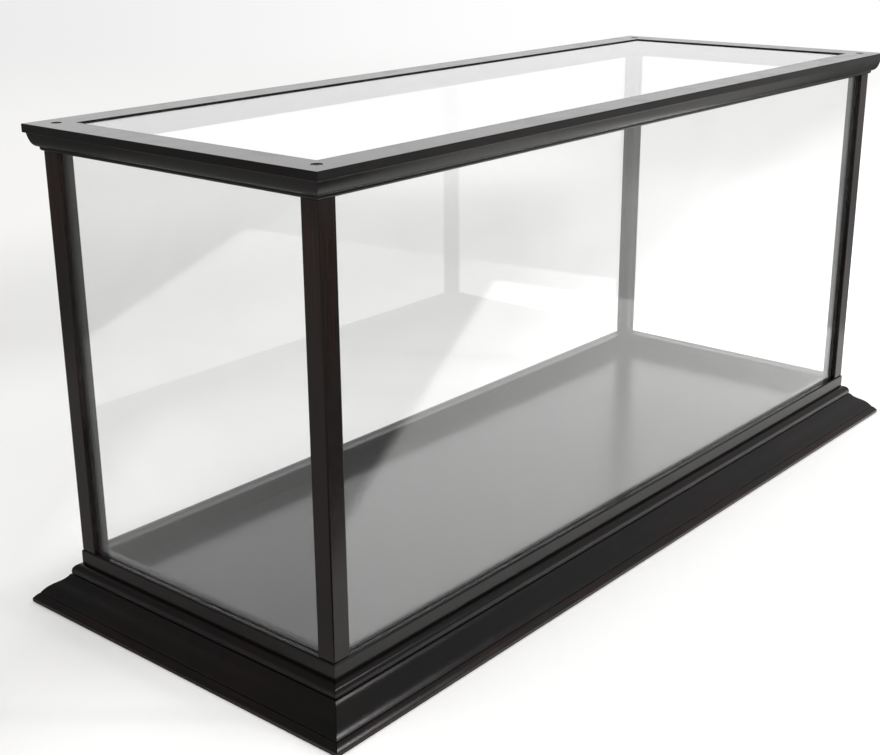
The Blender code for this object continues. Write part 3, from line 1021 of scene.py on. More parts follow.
@dataclass(frozen=True)
class MitredFrame:
    """Four rails of one section around a rectangle, given by its half sizes along X and along Y."""

    case: CaseSize
    name: str
    half: Point
    body: Body

    def build(self, bench: Bench, outline: Outline, cutters: Cutters) -> None:
        """Run the section around the frame.

        Args:
            bench: where the rails go.
            outline: the section's points.
            cutters: bodies to cut out, by corner.
        """
        for side in Side:
            run, reach = self.half if side.runs_along_x else self.half[::-1]
            rail = bench.runs.live("rail", MeshShop.section(outline), {
                "Half Run": run, "Reach": reach, "Trim": self.case.mitre_trim, "Turn": side.turn,
                "Finish": bench.finishes.rail(side)})
            for corner in (Corner(side.value), Corner((side.value + 1) % len(Corner))):
                if corner in cutters:
                    Screws.cut(rail, cutters[corner])
            name, node = f"{self.name}_rail_{side.label}", f"{self.name}_{side.label}"
            bench.put(name, MeshShop.baked(name, rail), self.body, [node])


@dataclass(frozen=True)
class Plinth:
    """Base moulding: foot, toe, quirk, ogee, step, neck and bead."""

    case: CaseSize
    width: float = 0.0358
    height: float = 0.0380
    foot_height: float = 0.0036
    toe_run: float = 0.0050
    toe_rise: float = 0.0052
    neck_height: float = 0.0026
    bead_radius: float = 0.0076
    ledge: float = 0.0004
    step: float = 0.0012
    quirk_width: float = 0.0007
    quirk_depth: float = 0.0007
    ogee_start: Point = (0.30, 0.50)
    ogee_end: Point = (0.40, 0.65)
    ogee_steps: int = 48
    toe_start: Point = (0.40, 0.28)
    toe_end: Point = (0.28, 0.38)
    toe_steps: int = 18
    bead_steps: int = 28
    ease: float = 0.00035
    foot_ease: float = 0.0005

    @property
    def half(self) -> Point:
        """Half sizes of the rectangle along the sill's outer face."""
        return (self.case.length / 2 - self.width, self.case.depth / 2 - self.width)

    def profile(self) -> Outline:
        """Section of the moulding; outwards is 0 at the sill.

        Returns:
            The outline's points.
        """
        toe_top = (self.width - self.toe_run, self.foot_height + self.toe_rise)
        ogee_foot = (toe_top[0] - self.quirk_width, toe_top[1] + self.quirk_width)
        neck_out = self.ledge + self.bead_radius
        neck_top = self.height - self.bead_radius
        neck_foot = neck_top - self.neck_height
        ogee_top = (neck_out + self.step, neck_foot - self.quirk_depth / 2)
        toe_foot = (self.width, self.foot_height)
        toe = flowing(toe_top, toe_foot, self.toe_start, self.toe_end, self.toe_steps)
        ogee = flowing(ogee_top, ogee_foot, self.ogee_start, self.ogee_end, self.ogee_steps)

        drawn = Profile()
        drawn.corner(self.case.glue_gap, 0.0, self.ease).corner(self.width, 0.0, self.foot_ease)
        drawn.corner(*toe_foot, self.foot_ease).sweep(toe[-2:0:-1]).corner(*toe_top, self.ease)
        drawn.corner(toe_top[0] - self.quirk_depth, toe_top[1] - self.quirk_depth / 2, self.ease / 3)
        drawn.corner(*ogee_foot, self.ease).sweep(ogee[-2:0:-1]).corner(*ogee_top, self.ease)
        drawn.corner(neck_out - self.quirk_depth, neck_foot, self.ease / 3)
        drawn.corner(neck_out, neck_foot + self.quirk_width, self.ease)
        drawn.sweep(arc((self.ledge, neck_top), self.bead_radius, 0, 90, self.bead_steps))
        drawn.corner(self.case.glue_gap, self.height, self.ease / 2)
        return drawn.closed()

    def build(self, bench: Bench) -> None:
        """Run the moulding round the case."""
        MitredFrame(self.case, "plinth", self.half, Body.CASE).build(bench, self.profile(), {})


@dataclass(frozen=True)
class Sill:
    """Grooved frame above the plinth that carries the posts, the panes and the floor board."""

    plinth: Plinth
    rise: float = 0.0147
    foot: float = 0.0060
    step: float = 0.0008
    reveal: float = 0.0004
    groove_depth: float = 0.0060
    arris: float = 0.0016
    post_size: float = 0.0185
    floor_drop: float = 0.0187
    floor_thickness: float = 0.0060
    tongue: float = 0.0050
    tongue_thickness: float = 0.0040
    ease: float = 0.0003

    @property
    def case(self) -> CaseSize:
        """The case's sizes."""
        return self.plinth.case

    @property
    def top(self) -> float:
        """Level of the sill's top."""
        return self.plinth.height + self.rise

    @property
    def width(self) -> float:
        """Width of the rail, measured inwards."""
        return self.step + self.post_size + self.reveal

    @property
    def floor_top(self) -> float:
        """Level of the floor board's top."""
        return self.top - self.floor_drop

    @property
    def floor_bottom(self) -> float:
        """Level of the floor board's underside."""
        return self.floor_top - self.floor_thickness

    @property
    def inner_half(self) -> Point:
        """Half sizes of the space between the rails, less the glue gap."""
        return tuple(half - self.width - self.case.glue_gap for half in self.plinth.half)

    def profile(self) -> Outline:
        """Section of the rail with its pane groove on top and its floor groove inside.

        Returns:
            The outline's points.
        """
        middle = self.step + self.case.pane_setback + self.case.pane_thickness / 2
        near, far = -middle + self.case.groove_half, -middle - self.case.groove_half
        groove = self.top - self.groove_depth
        gap = self.case.glue_gap
        low, high = self.floor_bottom - gap, self.floor_bottom + self.tongue_thickness + gap
        deep = self.tongue - self.width

        drawn = Profile()
        drawn.corner(0.0, self.foot, self.ease).corner(0.0, self.top, self.arris)
        drawn.corner(near, self.top, self.ease).corner(near, groove, 0.0)
        drawn.corner(far, groove, 0.0).corner(far, self.top, self.ease)
        drawn.corner(-self.width, self.top, self.arris)
        drawn.corner(-self.width, high, self.ease).corner(deep, high, 0.0)
        drawn.corner(deep, low, 0.0).corner(-self.width, low, self.ease)
        drawn.corner(-self.width, self.foot, self.ease)
        return drawn.closed()

    def build(self, bench: Bench, cutters: Cutters) -> None:
        """Run the rail round the case, with the post screws' bores in its corners."""
        MitredFrame(self.case, "sill", self.plinth.half, Body.CASE).build(bench, self.profile(), cutters)


@dataclass(frozen=True)
class FloorBoard:
    """The board inside the sill: its field lies between the rails, its rebated edge in their groove."""

    sill: Sill
    ease: float = 0.0005
    ease_steps: int = 4
    flat_from: float = 0.0015

    def build(self, bench: Bench) -> None:
        """Stack rectangles from the underside to the top."""
        field = self.sill.inner_half
        tongue = tuple(half + self.sill.tongue for half in field)
        top, bottom = self.sill.floor_top, self.sill.floor_bottom
        shoulder = bottom + self.sill.tongue_thickness
        rings = [self._ring(tongue, 0.0, bottom), self._ring(tongue, 0.0, shoulder),
                 self._ring(field, 0.0, shoulder), self._ring(field, 0.0, top - self.ease)]
        for step in range(1, self.ease_steps + 1):
            angle = step * math.pi / 2 / self.ease_steps
            inset, drop = self.ease * (1 - math.cos(angle)), self.ease * (1 - math.sin(angle))
            rings.append(self._ring(field, inset, top - drop))
        rings.append(self._ring(field, self.flat_from, top))
        bench.put_solid("display_floor", MeshShop.skin(rings), Body.CASE, Slot.BLACK_BOARD, "floor_board",
                        flat=False)

    @staticmethod
    def _ring(half: Point, inset: float, level: float) -> list:
        """Corners of a rectangle at a level."""
        x, y = half[0] - inset, half[1] - inset
        return [(-x, -y, level), (x, -y, level), (x, y, level), (-x, y, level)]


@dataclass(frozen=True)
class CornerBlocks:
    """Softwood glue blocks under the floor board, in the corners of the sill."""

    sill: Sill
    leg: float = 0.0400
    nose: float = 0.0060
    ease: float = 0.0007

    def build(self, bench: Bench) -> None:
        """Make one block for each corner."""
        levels = (self.sill.foot, self.sill.floor_bottom - self.sill.case.glue_gap)
        section = ((0.0, 0.0), (self.leg, 0.0), (self.leg, self.nose), (self.nose, self.leg), (0.0, self.leg))
        for corner in Corner:
            bm = MeshShop.skin([[(x, y, level) for x, y in section] for level in levels])
            bmesh.ops.recalc_face_normals(bm, faces=bm.faces)
            MeshShop.ease_edges(bm, self.ease)
            bm.transform(corner.seat(self.sill.inner_half))
            bench.put_solid(f"glue_block_{corner.label}", bm, Body.CASE, Slot.RAW_WOOD,
                            f"corner_block_{corner.label}")


@dataclass(frozen=True)
class Crown:
    """Lid moulding: fillet, step, ovolo and bead outside, pane grooves inside and below."""

    sill: Sill
    overhang: float = 0.0119
    reveal: float = 0.0026
    height: float = 0.0237
    fillet: float = 0.0077
    step: float = 0.0022
    bead_radius: float = 0.0022
    bead_neck: float = 0.0014
    arris: float = 0.0008
    groove_depth: float = 0.0060
    pane_drop: float = 0.0013
    pane_tongue: float = 0.0060
    ovolo_start: Point = (0.14, 0.39)
    ovolo_end: Point = (0.72, 0.00)
    ovolo_steps: int = 36
    ease: float = 0.0003

    @property
    def case(self) -> CaseSize:
        """The case's sizes."""
        return self.sill.case

    @property
    def bottom(self) -> float:
        """Level of the crown's underside."""
        return self.case.height - self.height

    @property
    def width(self) -> float:
        """Width of the rail, measured inwards."""
        return self.overhang + self.sill.post_size + self.reveal

    @property
    def post_half(self) -> Point:
        """Half sizes of the rectangle along the posts' outer faces."""
        return tuple(half - self.sill.step for half in self.sill.plinth.half)

    @property
    def half(self) -> Point:
        """Half sizes of the rectangle along the crown's outer face."""
        return tuple(half + self.overhang for half in self.post_half)

    @property
    def pane_levels(self) -> Point:
        """Levels of the top pane's underside and top."""
        top = self.case.height - self.pane_drop
        return (top - self.case.pane_thickness, top)

    def profile(self) -> Outline:
        """Section of the crown; outwards is 0 at its outer face.

        Returns:
            The outline's points.
        """
        middle = self.overhang + self.case.pane_setback + self.case.pane_thickness / 2
        near, far = -middle + self.case.groove_half, -middle - self.case.groove_half
        roof = self.bottom + self.groove_depth
        low, high = self.pane_levels
        low, high = low - self.case.pane_clearance, high + self.case.pane_clearance
        deep = self.pane_tongue - self.width
        under = self.case.height - self.fillet
        bead = (-self.overhang, self.bottom + self.bead_radius)
        ovolo_foot = (bead[0] + self.bead_radius, bead[1] + self.bead_neck)
        ovolo = flowing((-self.step, under), ovolo_foot, self.ovolo_start, self.ovolo_end, self.ovolo_steps)

        drawn = Profile()
        drawn.corner(-self.width, self.case.height, self.arris).corner(0.0, self.case.height, self.arris)
        drawn.corner(0.0, under, self.arris).corner(-self.step, under, self.ease / 2)
        drawn.sweep(ovolo[1:-1]).corner(*ovolo_foot, self.ease)
        drawn.sweep(arc(bead, self.bead_radius, 0, -90))
        drawn.corner(near, self.bottom, self.ease).corner(near, roof, 0.0)
        drawn.corner(far, roof, 0.0).corner(far, self.bottom, self.ease)
        drawn.corner(-self.width, self.bottom, self.arris)
        drawn.corner(-self.width, low, self.ease / 2).corner(deep, low, 0.0)
        drawn.corner(deep, high, 0.0).corner(-self.width, high, self.ease / 2)
        return drawn.closed()

    def build(self, bench: Bench, cutters: Cutters) -> None:
        """Run the crown round the lid and close it with the top pane."""
        MitredFrame(self.case, "crown", self.half, Body.LID).build(bench, self.profile(), cutters)
        x, y = (size - self.width + self.pane_tongue - self.case.glue_gap for size in self.half)
        low, high = self.pane_levels
        bm = MeshShop.eased_block((-x, -y, low), (x, y, high), self.case.pane_edge)
        bench.put_solid("clear_pane_top", bm, Body.LID, Slot.CLEAR_PANE, "pane_top")


@dataclass(frozen=True)
class Posts:
    """Square corner posts with a pane groove in both inner sides."""

    crown: Crown
    groove_depth: float = 0.0040
    arris: float = 0.0010
    mouth_ease: float = 0.0008
    foot_inset: float = 0.0005
    foot_rise: float = 0.0010

    def profile(self) -> Outline:
        """Section of a post from its outer corner at the origin.

        Returns:
            The outline's points.
        """
        case, size = self.crown.case, self.crown.sill.post_size
        near = case.pane_setback - case.pane_clearance
        far = case.pane_setback + case.pane_thickness + case.pane_clearance
        deep = size - self.groove_depth
        drawn = Profile()
        drawn.corner(0.0, 0.0, self.arris).corner(size, 0.0, self.arris)
        drawn.corner(size, near, self.mouth_ease).corner(deep, near, 0.0)
        drawn.corner(deep, far, 0.0).corner(size, far, self.mouth_ease)
        drawn.corner(size, size, self.arris)
        drawn.corner(far, size, self.mouth_ease).corner(far, deep, 0.0)
        drawn.corner(near, deep, 0.0).corner(near, size, self.mouth_ease)
        drawn.corner(0.0, size, self.arris)
        return drawn.closed()

    def _inset(self, outline: Outline) -> Outline:
        """The section of the foot, a little smaller all round."""
        inset = []
        for index, point in enumerate(outline):
            along = (outline[(index + 1) % len(outline)] - outline[index - 1]).normalized()
            inset.append(point + self.foot_inset * Vector((-along.y, along.x)))
        return inset

    def build(self, bench: Bench, cutter_sets: Sequence[Cutters]) -> None:
        """Stand a post on each corner of the sill, bored at both ends."""
        gap = self.crown.case.glue_gap
        low, high = self.crown.sill.top + gap, self.crown.bottom - gap
        outline = self.profile()
        shoulder = low + self.foot_rise
        rings = ((self._inset(outline), low), (outline, shoulder), (outline, shoulder + self.foot_inset),
                 (outline, high))
        for corner in Corner:
            bm = MeshShop.skin([[(point[0], point[1], level) for point in ring] for ring, level in rings])
            bm.transform(corner.seat(self.crown.post_half))
            mesh = MeshShop.from_bmesh("post", bm, bench.finishes.wood[Grain.ALONG_Z])
            MeshShop.mark(mesh, outline, len(rings))
            live = MeshShop.live("post", mesh)
            for cutters in cutter_sets:
                Screws.cut(live, cutters[corner])
            name = f"corner_post_{corner.label}"
            bench.put(name, MeshShop.baked(name, live), Body.CASE, [f"post_{corner.label}"])


@dataclass(frozen=True)
class SidePanes:
    """Four upright clear panes, each held by two posts, the sill and the crown."""

    posts: Posts
    top_room: float = 0.0010

    def build(self, bench: Bench) -> None:
        """Stand a pane in each side."""
        crown, case = self.posts.crown, self.posts.crown.case
        held = self.posts.groove_depth - case.glue_gap
        low = crown.sill.top - crown.sill.groove_depth + case.glue_gap
        high = crown.bottom + crown.groove_depth - self.top_room
        for side in Side:
            run, reach = crown.post_half if side.runs_along_x else crown.post_half[::-1]
            half_width = run - crown.sill.post_size + held
            outer = case.pane_setback - reach
            inner = outer + case.pane_thickness
            bm = MeshShop.eased_block((-half_width, outer, low), (half_width, inner, high), case.pane_edge)
            bm.transform(Matrix.Rotation(side.turn, 4, "Z"))
            bench.put_solid(f"clear_pane_{side.label}", bm, Body.CASE, Slot.CLEAR_PANE, f"pane_{side.label}")


class ScrewTree(PieceTree):
    """Geometry nodes that turn a cross-head wood screw and set it on every point they are given."""

    NAME = "cross_head_screw"
    GIVEN = "Places"
    INPUTS = ("Length", "Shank Radius", "Head Radius", "Head Height", "Tip", "Pitch", "Thread Depth",
              "Plain Shank", "Recess Span", "Recess Width", "Recess Depth", "Tilt", "Seed")
    SIDES = 28
    RINGS = 150
    CAP_RINGS = 4
    HEAD_ROUNDING = -0.14
    HEAD_POWER = 3.0
    TIP_SHARE = 0.02

    def _draw(self, sketch: Sketch, given: Any) -> Socket:
        """Set a screw on each place, each turned differently about its own axis."""
        screw = self._recessed(sketch, given, self._turned(sketch, given))
        spin = sketch.node("FunctionNodeRandomValue", {"Seed": given["Seed"]}, data_type="FLOAT")
        least, most = [socket for socket in spin.inputs
                       if socket.type == "VALUE" and socket.name in ("Min", "Max")][:2]
        least.default_value, most.default_value = 0.0, math.pi
        value = next(socket for socket in spin.outputs if socket.type == "VALUE" and socket.enabled)
        rotation = sketch.node("FunctionNodeEulerToRotation", {0: sketch.vector(X=given["Tilt"], Z=value)})
        placed = sketch.node("GeometryNodeInstanceOnPoints", {
            "Points": given["Places"], "Instance": screw, "Rotation": rotation.outputs[0]})
        return sketch.node("GeometryNodeRealizeInstances", {"Geometry": placed.outputs[0]}).outputs[0]

    def _turned(self, sketch: Sketch, given: Any) -> Socket:
        """A long cylinder whose rings are set to the radius of head, shank, thread or tip."""
        blank = sketch.node("GeometryNodeMeshCylinder", {
            "Vertices": self.SIDES, "Side Segments": self.RINGS, "Fill Segments": self.CAP_RINGS,
            "Radius": 1.0, "Depth": given["Length"]}, fill_type="NGON")
        place = sketch.axes(sketch.node("GeometryNodeInputPosition").outputs[0])
        down = sketch.math("SUBTRACT", sketch.math("MULTIPLY", given["Length"], 0.5), place["Z"])

        above = sketch.math("SUBTRACT", 1.0, sketch.math("DIVIDE", down, given["Head Height"]))
        above = sketch.math("POWER", sketch.math("MAXIMUM", above, 0.0), self.HEAD_POWER)
        rounded = sketch.math("MULTIPLY_ADD", above, self.HEAD_ROUNDING, 1.0)
        head = sketch.math("MULTIPLY", given["Head Radius"], rounded)

        turn = sketch.math("DIVIDE", sketch.math("ARCTAN2", place["Y"], place["X"]), 2 * math.pi)
        phase = sketch.math("FRACT", sketch.math("ADD", sketch.math("DIVIDE", down, given["Pitch"]), turn))
        valley = sketch.math("ABSOLUTE", sketch.math("MULTIPLY_ADD", phase, 2.0, -1.0))
        threaded = sketch.math("GREATER_THAN", down, given["Plain Shank"])
        cut = sketch.math("MULTIPLY", sketch.math("MULTIPLY", valley, given["Thread Depth"]), threaded)
        shank = sketch.math("SUBTRACT", given["Shank Radius"], cut)
        left = sketch.math("DIVIDE", sketch.math("SUBTRACT", given["Length"], down), given["Tip"])
        taper = sketch.math("MAXIMUM", sketch.math("MINIMUM", left, 1.0), self.TIP_SHARE)
        shank = sketch.math("MULTIPLY", shank, taper)

        in_head = sketch.math("LESS_THAN", down, given["Head Height"])
        radius = sketch.math("ADD", sketch.math("MULTIPLY", head, in_head),
                             sketch.math("MULTIPLY", shank, sketch.math("SUBTRACT", 1.0, in_head)))
        target = sketch.vector(X=sketch.math("MULTIPLY", place["X"], radius),
                               Y=sketch.math("MULTIPLY", place["Y"], radius),
                               Z=sketch.math("MULTIPLY", down, -1.0))
        return sketch.node("GeometryNodeSetPosition", {
            "Geometry": blank.outputs["Mesh"], "Position": target}).outputs[0]

    @staticmethod
    def _recessed(sketch: Sketch, given: Any, body: Socket) -> Socket:
        """Cut the cross for the driver into the head."""
        cut = sketch.node("GeometryNodeMeshBoolean", operation="DIFFERENCE", solver="EXACT")
        sketch.feed(cut.inputs["Mesh 1"], body)
        depth = sketch.math("MULTIPLY", given["Recess Depth"], 2.0)
        for first, second in (("Recess Span", "Recess Width"), ("Recess Width", "Recess Span")):
            size = sketch.vector(X=given[first], Y=given[second], Z=depth)
            bar = sketch.node("GeometryNodeMeshCube", {"Size": size})
            sketch.feed(cut.inputs["Mesh 2"], bar.outputs["Mesh"])
        return cut.outputs["Mesh"]


@dataclass(frozen=True)
class Screws:
    """One set of four screws, one in the middle of each post."""

    crown: Crown
    prefix: str
    body: Body
    points_up: bool
    sink: float
    length: float
    shank: float
    head: float
    head_height: float
    plain_shank: float
    seed: int
    tip: float = 0.0040
    pitch: float = 0.0019
    thread_depth: float = 0.0006
    recess_span: float = 0.0046
    recess_width: float = 0.0011
    recess_depth: float = 0.0014
    rim: float = 0.00025
    sides: int = 40

    @classmethod
    def for_lid(cls, crown: Crown) -> Screws:
        """Screws from above that hold the lid to the posts."""
        return cls(crown, "lid_screw", Body.LID, points_up=False, sink=0.0006, length=0.0420, shank=0.0042,
                   head=0.0086, head_height=0.0026, plain_shank=0.0235, seed=11)

    @classmethod
    def for_posts(cls, crown: Crown) -> Screws:
        """Screws from below that hold the posts to the sill."""
        return cls(crown, "post_screw", Body.CASE, points_up=True, sink=0.0090, length=0.0600, shank=0.0048,
                   head=0.0094, head_height=0.0030, plain_shank=0.0380, seed=23)

    @property
    def tilt(self) -> float:
        """The turn about X that points the screws the right way."""
        return math.pi if self.points_up else 0.0

    def _place(self, corner: Corner) -> Vector:
        """The middle of a screw head's outer face."""
        half = [size - self.crown.sill.post_size / 2 for size in self.crown.post_half]
        case, sill = self.crown.case, self.crown.sill
        return corner.place(half, sill.foot + self.sink if self.points_up else case.height - self.sink)

    def cutters(self) -> dict:
        """Hidden bodies for the bores, with an eased rim at the mouth.

        Returns:
            The cutters by corner.
        """
        clear = self.crown.case.bore_clearance
        pocket, hole = self.head / 2 + clear, self.shank / 2 + clear
        mouth, seat, end = self.sink + self.head_height, -self.head_height - clear, -self.length - clear
        wide = pocket + 2 * self.rim
        outline = [(0.0, mouth), (wide, mouth), (wide, self.sink + self.rim), (pocket, self.sink - self.rim),
                   (pocket, seat), (hole, seat), (hole, end), (0.0, end)]
        made = {}
        for corner in Corner:
            bm = MeshShop.turned(outline, self.sides)
            bm.transform(Matrix.Translation(self._place(corner)) @ Matrix.Rotation(self.tilt, 4, "X"))
            name = f"{self.prefix}_bore_{corner.label}"
            made[corner] = MeshShop.live(name, MeshShop.from_bmesh(name, bm))
            made[corner].hide_render = True
        return made

    @staticmethod
    def cut(piece: bpy.types.Object, cutter: bpy.types.Object) -> None:
        """Cut a hidden body out of a piece."""
        bore = piece.modifiers.new("bore", "BOOLEAN")
        bore.operation, bore.solver, bore.object = "DIFFERENCE", "EXACT", cutter

    def build(self, bench: Bench, tree: ScrewTree) -> None:
        """Set the four screws as one mesh."""
        mesh = bpy.data.meshes.new("places")
        mesh.from_pydata([self._place(corner) for corner in Corner], [], [])
        live = tree.live("screws", mesh, {
            "Length": self.length, "Shank Radius": self.shank / 2, "Head Radius": self.head / 2,
            "Head Height": self.head_height, "Tip": self.tip, "Pitch": self.pitch,
            "Thread Depth": self.thread_depth, "Plain Shank": self.plain_shank,
            "Recess Span": self.recess_span, "Recess Width": self.recess_width,
            "Recess Depth": self.recess_depth, "Tilt": self.tilt, "Seed": self.seed,
            "Finish": bench.finishes.plain[Slot.BLACK_STEEL]})
        nodes = [f"{self.prefix}_{corner.label}" for corner in Corner]
        name = f"{self.prefix}s"
        bench.put(name, MeshShop.baked(name, live), self.body, nodes)


@dataclass(frozen=True)
class Studio:
    """Camera, white floor with painted light and shade, soft surroundings and two lamps."""

    eye: Place = (-1.17066, -0.88070, 0.64285)
    heading: float = 40.329
    pitch: float = -19.042
    roll: float = -0.422
    lens: float = 57.806
    sensor: float = 36.0
    clip: Point = (0.01, 100.0)

    floor_size: float = 12.0
    floor_drop: float = 0.0002
    floor_white: Colour = (0.940, 0.934, 0.920)
    floor_fade: Point = (2.6, 5.2)
    # painted light and shade on the seen floor: lighter towards the front, painted shade at the wall foot,
    # painted light just behind the case
    floor_way: Place = (0.25, -0.97, 0.0)
    floor_painted_light: Point = (0.99, 1.31)
    floor_span: Point = (-0.29, -0.05)
    wall_foot: Place = (0.257, 0.966, 0.0)
    wall_shade: float = 0.14
    wall_near: Point = (0.55, 1.0)
    wall_far: Point = (1.05, 1.8)
    wall_end: Point = (-0.02, 0.18)
    behind_painted_light: float = 0.22
    behind_near: Point = (0.10, 0.22)
    behind_far: Point = (0.26, 0.66)
    behind_end: Point = (-0.52, -0.43)

    # painted reflection: the floor's brightness in the case's reflections, a glowing sheet and dimmer floor
    # past its edges
    sheet_front: Place = (0.483, 0.876, 0.4534)
    sheet_right: Place = (-0.986, 0.169, 0.851)
    sheet_left: Place = (-0.448, -0.894, 0.339)
    sheet_softness: float = 0.012
    sheet_glow: Point = (0.58, 1.92)
    sheet_span: Point = (-0.35, 0.0)
    past_front: float = 0.15
    past_right: float = 1.3
    past_left: float = 0.28
    past_span: Point = (-0.10, 0.30)
    past_back: float = 0.20
    back_edge: Point = (0.45, 0.80)
    far_glow: float = 0.85
    far_edge: Point = (1.70, 2.20)
    near_way: Place = (-0.75, -0.66, 0.0)
    near_edge: Point = (0.70, 1.00)

    ambient: float = 0.96
    across: Place = (0.62, -0.78, 0.0)
    back_tones: Point = (0.85, 1.0)
    back_span: Point = (-0.34, 0.06)
    wall_glow: Point = (1.15, 1.45)
    wall_rise: Point = (0.10, 0.32)
    ceiling_glow: float = 0.30
    ceiling_rise: Point = (0.45, 0.80)
    front_glow: float = 0.62
    front_span: Point = (-0.05, 0.35)
    left_glow: Point = (0.35, 0.22)
    left_rise: Point = (0.12, 0.35)
    left_span: Point = (-0.25, 0.30)

    soft_box_place: Place = (1.404, -1.560, 1.164)
    soft_box_size: Point = (1.0, 0.7)
    soft_box_power: float = 7.0
    window_place: Place = (2.369, -3.500, 2.454)
    window_size: Point = (0.28, 0.50)
    window_power: float = 20.0

    def build(self) -> None:
        """Set up everything around the case."""
        bpy.context.scene.view_settings.view_transform = "Standard"
        self._camera()
        self._world()
        self._floor()
        self._lamps()

    def _camera(self) -> None:
        """The photograph's viewpoint."""
        heading, pitch, roll = (math.radians(angle) for angle in (self.heading, self.pitch, self.roll))
        forward = Vector((math.cos(pitch) * math.cos(heading), math.cos(pitch) * math.sin(heading),
                          math.sin(pitch)))
        level = forward.cross(Vector((0.0, 0.0, 1.0))).normalized()
        upright = level.cross(forward)
        right = math.cos(roll) * level + math.sin(roll) * upright
        up = math.cos(roll) * upright - math.sin(roll) * level
        data = bpy.data.cameras.new("camera")
        data.sensor_fit, data.sensor_width, data.lens = "HORIZONTAL", self.sensor, self.lens
        data.clip_start, data.clip_end = self.clip
        camera = MeshShop.live("camera", data)
        turn = Matrix((right, up, -forward)).transposed().to_4x4()
        camera.matrix_world = Matrix.Translation(self.eye) @ turn
        bpy.context.scene.camera = camera

    @staticmethod
    def _by_ray(sketch: Sketch, lit: Feed, seen: Feed, mirrored: Feed) -> Socket:
        """One value for light, one for what is seen, also through panes, and one for what is mirrored."""
        path = sketch.node("ShaderNodeLightPath").outputs
        sharp = sketch.math("LESS_THAN", path["Diffuse Depth"], 0.5)
        straight = sketch.math("LESS_THAN", path["Glossy Depth"], 0.5)
        direct = sketch.math("MULTIPLY", sharp, straight)
        mirror = sketch.math("SUBTRACT", sharp, direct)
        return sketch.mixed(direct, sketch.mixed(mirror, lit, mirrored), seen)

    def _world(self) -> None:
        """A pale room: a bright wall behind the case, a dim front, and no white on the left."""
        world = bpy.data.worlds.new("surroundings")
        bpy.context.scene.world = world
        world.use_nodes = True
        world.cycles.sampling_method = "NONE"
        sketch = Sketch(world.node_tree)
        way = sketch.node("ShaderNodeTexCoord").outputs["Generated"]
        axes = sketch.axes(way)
        wall = sketch.spread(sketch.ramp(axes["Z"], *self.wall_rise), *self.wall_glow)
        wall = sketch.mixed(sketch.ramp(axes["Z"], *self.ceiling_rise), wall, self.ceiling_glow)
        room = sketch.mixed(sketch.ramp(axes["Y"], *self.front_span), self.front_glow, wall)
        left = sketch.spread(sketch.ramp(axes["Z"], *self.left_rise), *self.left_glow)
        mirrored = sketch.mixed(sketch.ramp(axes["X"], *self.left_span), left, room)
        behind = sketch.spread(sketch.ramp(sketch.dot(way, self.across), *self.back_span), *self.back_tones)
        background = world.node_tree.nodes["Background"]
        background.inputs["Color"].default_value = (1.0, 1.0, 1.0, 1.0)
        sketch.feed(background.inputs["Strength"], self._by_ray(sketch, self.ambient, behind, mirrored))

    def _sheet(self, sketch: Sketch, place: Socket, slant: Socket) -> Socket:
        """Painted reflection: how bright the floor is where it is mirrored, a white sheet that glows beyond
        its lighting and what lies past its edges.
        """
        left, front, right = (sketch.math("ADD", sketch.dot(place, (edge[0], edge[1], 0.0)), edge[2])
                              for edge in (self.sheet_left, self.sheet_front, self.sheet_right))
        fade = (-self.sheet_softness, self.sheet_softness)
        glow = sketch.spread(sketch.ramp(slant, *self.sheet_span), *self.sheet_glow)
        glow = sketch.mixed(sketch.ramp(left, *fade), self.past_left, glow)
        glow = sketch.mixed(sketch.ramp(front, *fade), self.past_front, glow)
        past = sketch.spread(sketch.ramp(front, *self.past_span), self.past_front, self.past_right)
        past = sketch.mixed(sketch.ramp(front, *self.back_edge), past, self.past_back)
        glow = sketch.mixed(sketch.ramp(right, *fade), past, glow)
        for way, edge in ((self.across, self.far_edge), (self.near_way, self.near_edge)):
            glow = sketch.mixed(sketch.ramp(sketch.dot(place, way), *edge), glow, self.far_glow)
        return glow

    def _tone(self, sketch: Sketch, place: Socket, slant: Socket) -> Socket:
        """Painted light and shade on the floor where it is seen: whiter in front, painted shade in a band at
        the wall foot and painted light just behind the case.
        """
        back = sketch.dot(place, self.wall_foot)
        # painted shade in a band near the foot of a wall
        wall_foot_shade = sketch.band(back, self.wall_near, self.wall_far)
        wall_foot_shade = sketch.mixed(sketch.ramp(slant, *self.wall_end), wall_foot_shade, 0.0)
        # painted light just behind the case
        behind = sketch.band(back, self.behind_near, self.behind_far)
        behind = sketch.math("MULTIPLY", behind, sketch.ramp(slant, *self.behind_end))
        # painted light that grows towards the front
        forward = sketch.ramp(sketch.dot(place, self.floor_way), *self.floor_span)
        tone = sketch.math("MULTIPLY", sketch.spread(forward, *self.floor_painted_light),
                           sketch.spread(wall_foot_shade, 1.0, 1.0 - self.wall_shade))
        return sketch.math("MULTIPLY", tone, sketch.spread(behind, 1.0, 1.0 + self.behind_painted_light))

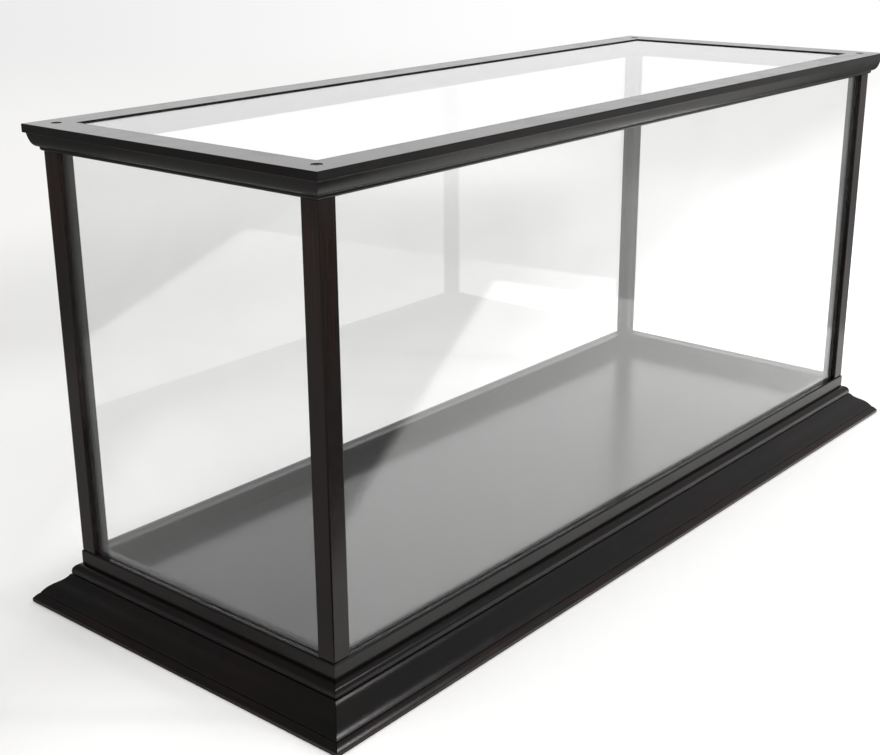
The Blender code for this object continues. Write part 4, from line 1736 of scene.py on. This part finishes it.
    def _floor(self) -> None:
        """A white floor that fades into the surroundings."""
        half = self.floor_size / 2
        mesh = bpy.data.meshes.new("studio_floor")
        mesh.from_pydata([(-half, -half, 0.0), (half, -half, 0.0), (half, half, 0.0), (-half, half, 0.0)], [],
                         [(0, 1, 2, 3)])
        floor = MeshShop.live("studio_floor", mesh)
        floor.location.z = -self.floor_drop
        material = bpy.data.materials.new("studio_white")
        material.use_nodes = True
        mesh.materials.append(material)
        nodes = material.node_tree.nodes
        nodes.remove(nodes["Principled BSDF"])
        sketch = Sketch(material.node_tree)
        place = sketch.node("ShaderNodeTexCoord").outputs["Object"]
        slant = sketch.dot(place, self.across)
        # the floor colour is scaled per ray: painted light and shade where seen, painted reflection where
        # mirrored
        level = self._by_ray(sketch, 1.0, self._tone(sketch, place, slant), self._sheet(sketch, place, slant))
        paper = sketch.node("ShaderNodeBsdfDiffuse", {"Color": sketch.scaled(self.floor_white, level)})
        clear = sketch.node("ShaderNodeBsdfTransparent")
        away = sketch.node("ShaderNodeVectorMath", {0: place}, operation="LENGTH").outputs["Value"]
        mixed = sketch.node("ShaderNodeMixShader", {
            0: sketch.ramp(away, *self.floor_fade), 1: paper.outputs[0], 2: clear.outputs[0]})
        sketch.feed(nodes["Material Output"].inputs["Surface"], mixed.outputs[0])

    @staticmethod
    def _lamp(name: str, place: Place, size: Point, power: float) -> bpy.types.Object:
        """Hang a lamp that faces the case.

        Args:
            name: the lamp's name.
            place: where it hangs.
            size: its width and height.
            power: its power in watts.

        Returns:
            The lamp.
        """
        data = bpy.data.lights.new(name, "AREA")
        data.shape, data.size, data.size_y = "RECTANGLE", *size
        data.energy = power
        lamp = MeshShop.live(name, data)
        lamp.location = place
        lamp.rotation_mode = "QUATERNION"
        lamp.rotation_quaternion = Vector(place).to_track_quat("Z", "Y")
        lamp.visible_camera = lamp.visible_transmission = False
        return lamp

    def _lamps(self) -> None:
        """A soft box, and a small far window that shines in the lacquer."""
        soft_box = self._lamp("soft_box", self.soft_box_place, self.soft_box_size, self.soft_box_power)
        soft_box.visible_glossy = False
        self._lamp("window", self.window_place, self.window_size, self.window_power)


def main() -> None:
    """Load the frame, build the case from the ground up and set up the studio."""
    logging.basicConfig(level=logging.INFO, format="%(message)s")
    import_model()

    plinth = Plinth(CaseSize())
    sill = Sill(plinth)
    crown = Crown(sill)
    posts = Posts(crown)
    lid_screws, post_screws = Screws.for_lid(crown), Screws.for_posts(crown)
    lid_bores, post_bores = lid_screws.cutters(), post_screws.cutters()

    bench = Bench(Finishes())
    plinth.build(bench)
    sill.build(bench, post_bores)
    FloorBoard(sill).build(bench)
    CornerBlocks(sill).build(bench)
    posts.build(bench, (lid_bores, post_bores))
    SidePanes(posts).build(bench)
    crown.build(bench, lid_bores)
    screw_tree = ScrewTree()
    post_screws.build(bench, screw_tree)
    lid_screws.build(bench, screw_tree)
    for cutter in (*lid_bores.values(), *post_bores.values()):
        bpy.data.objects.remove(cutter, do_unlink=True)

    Studio().build()


if __name__ == "__main__":
    main()
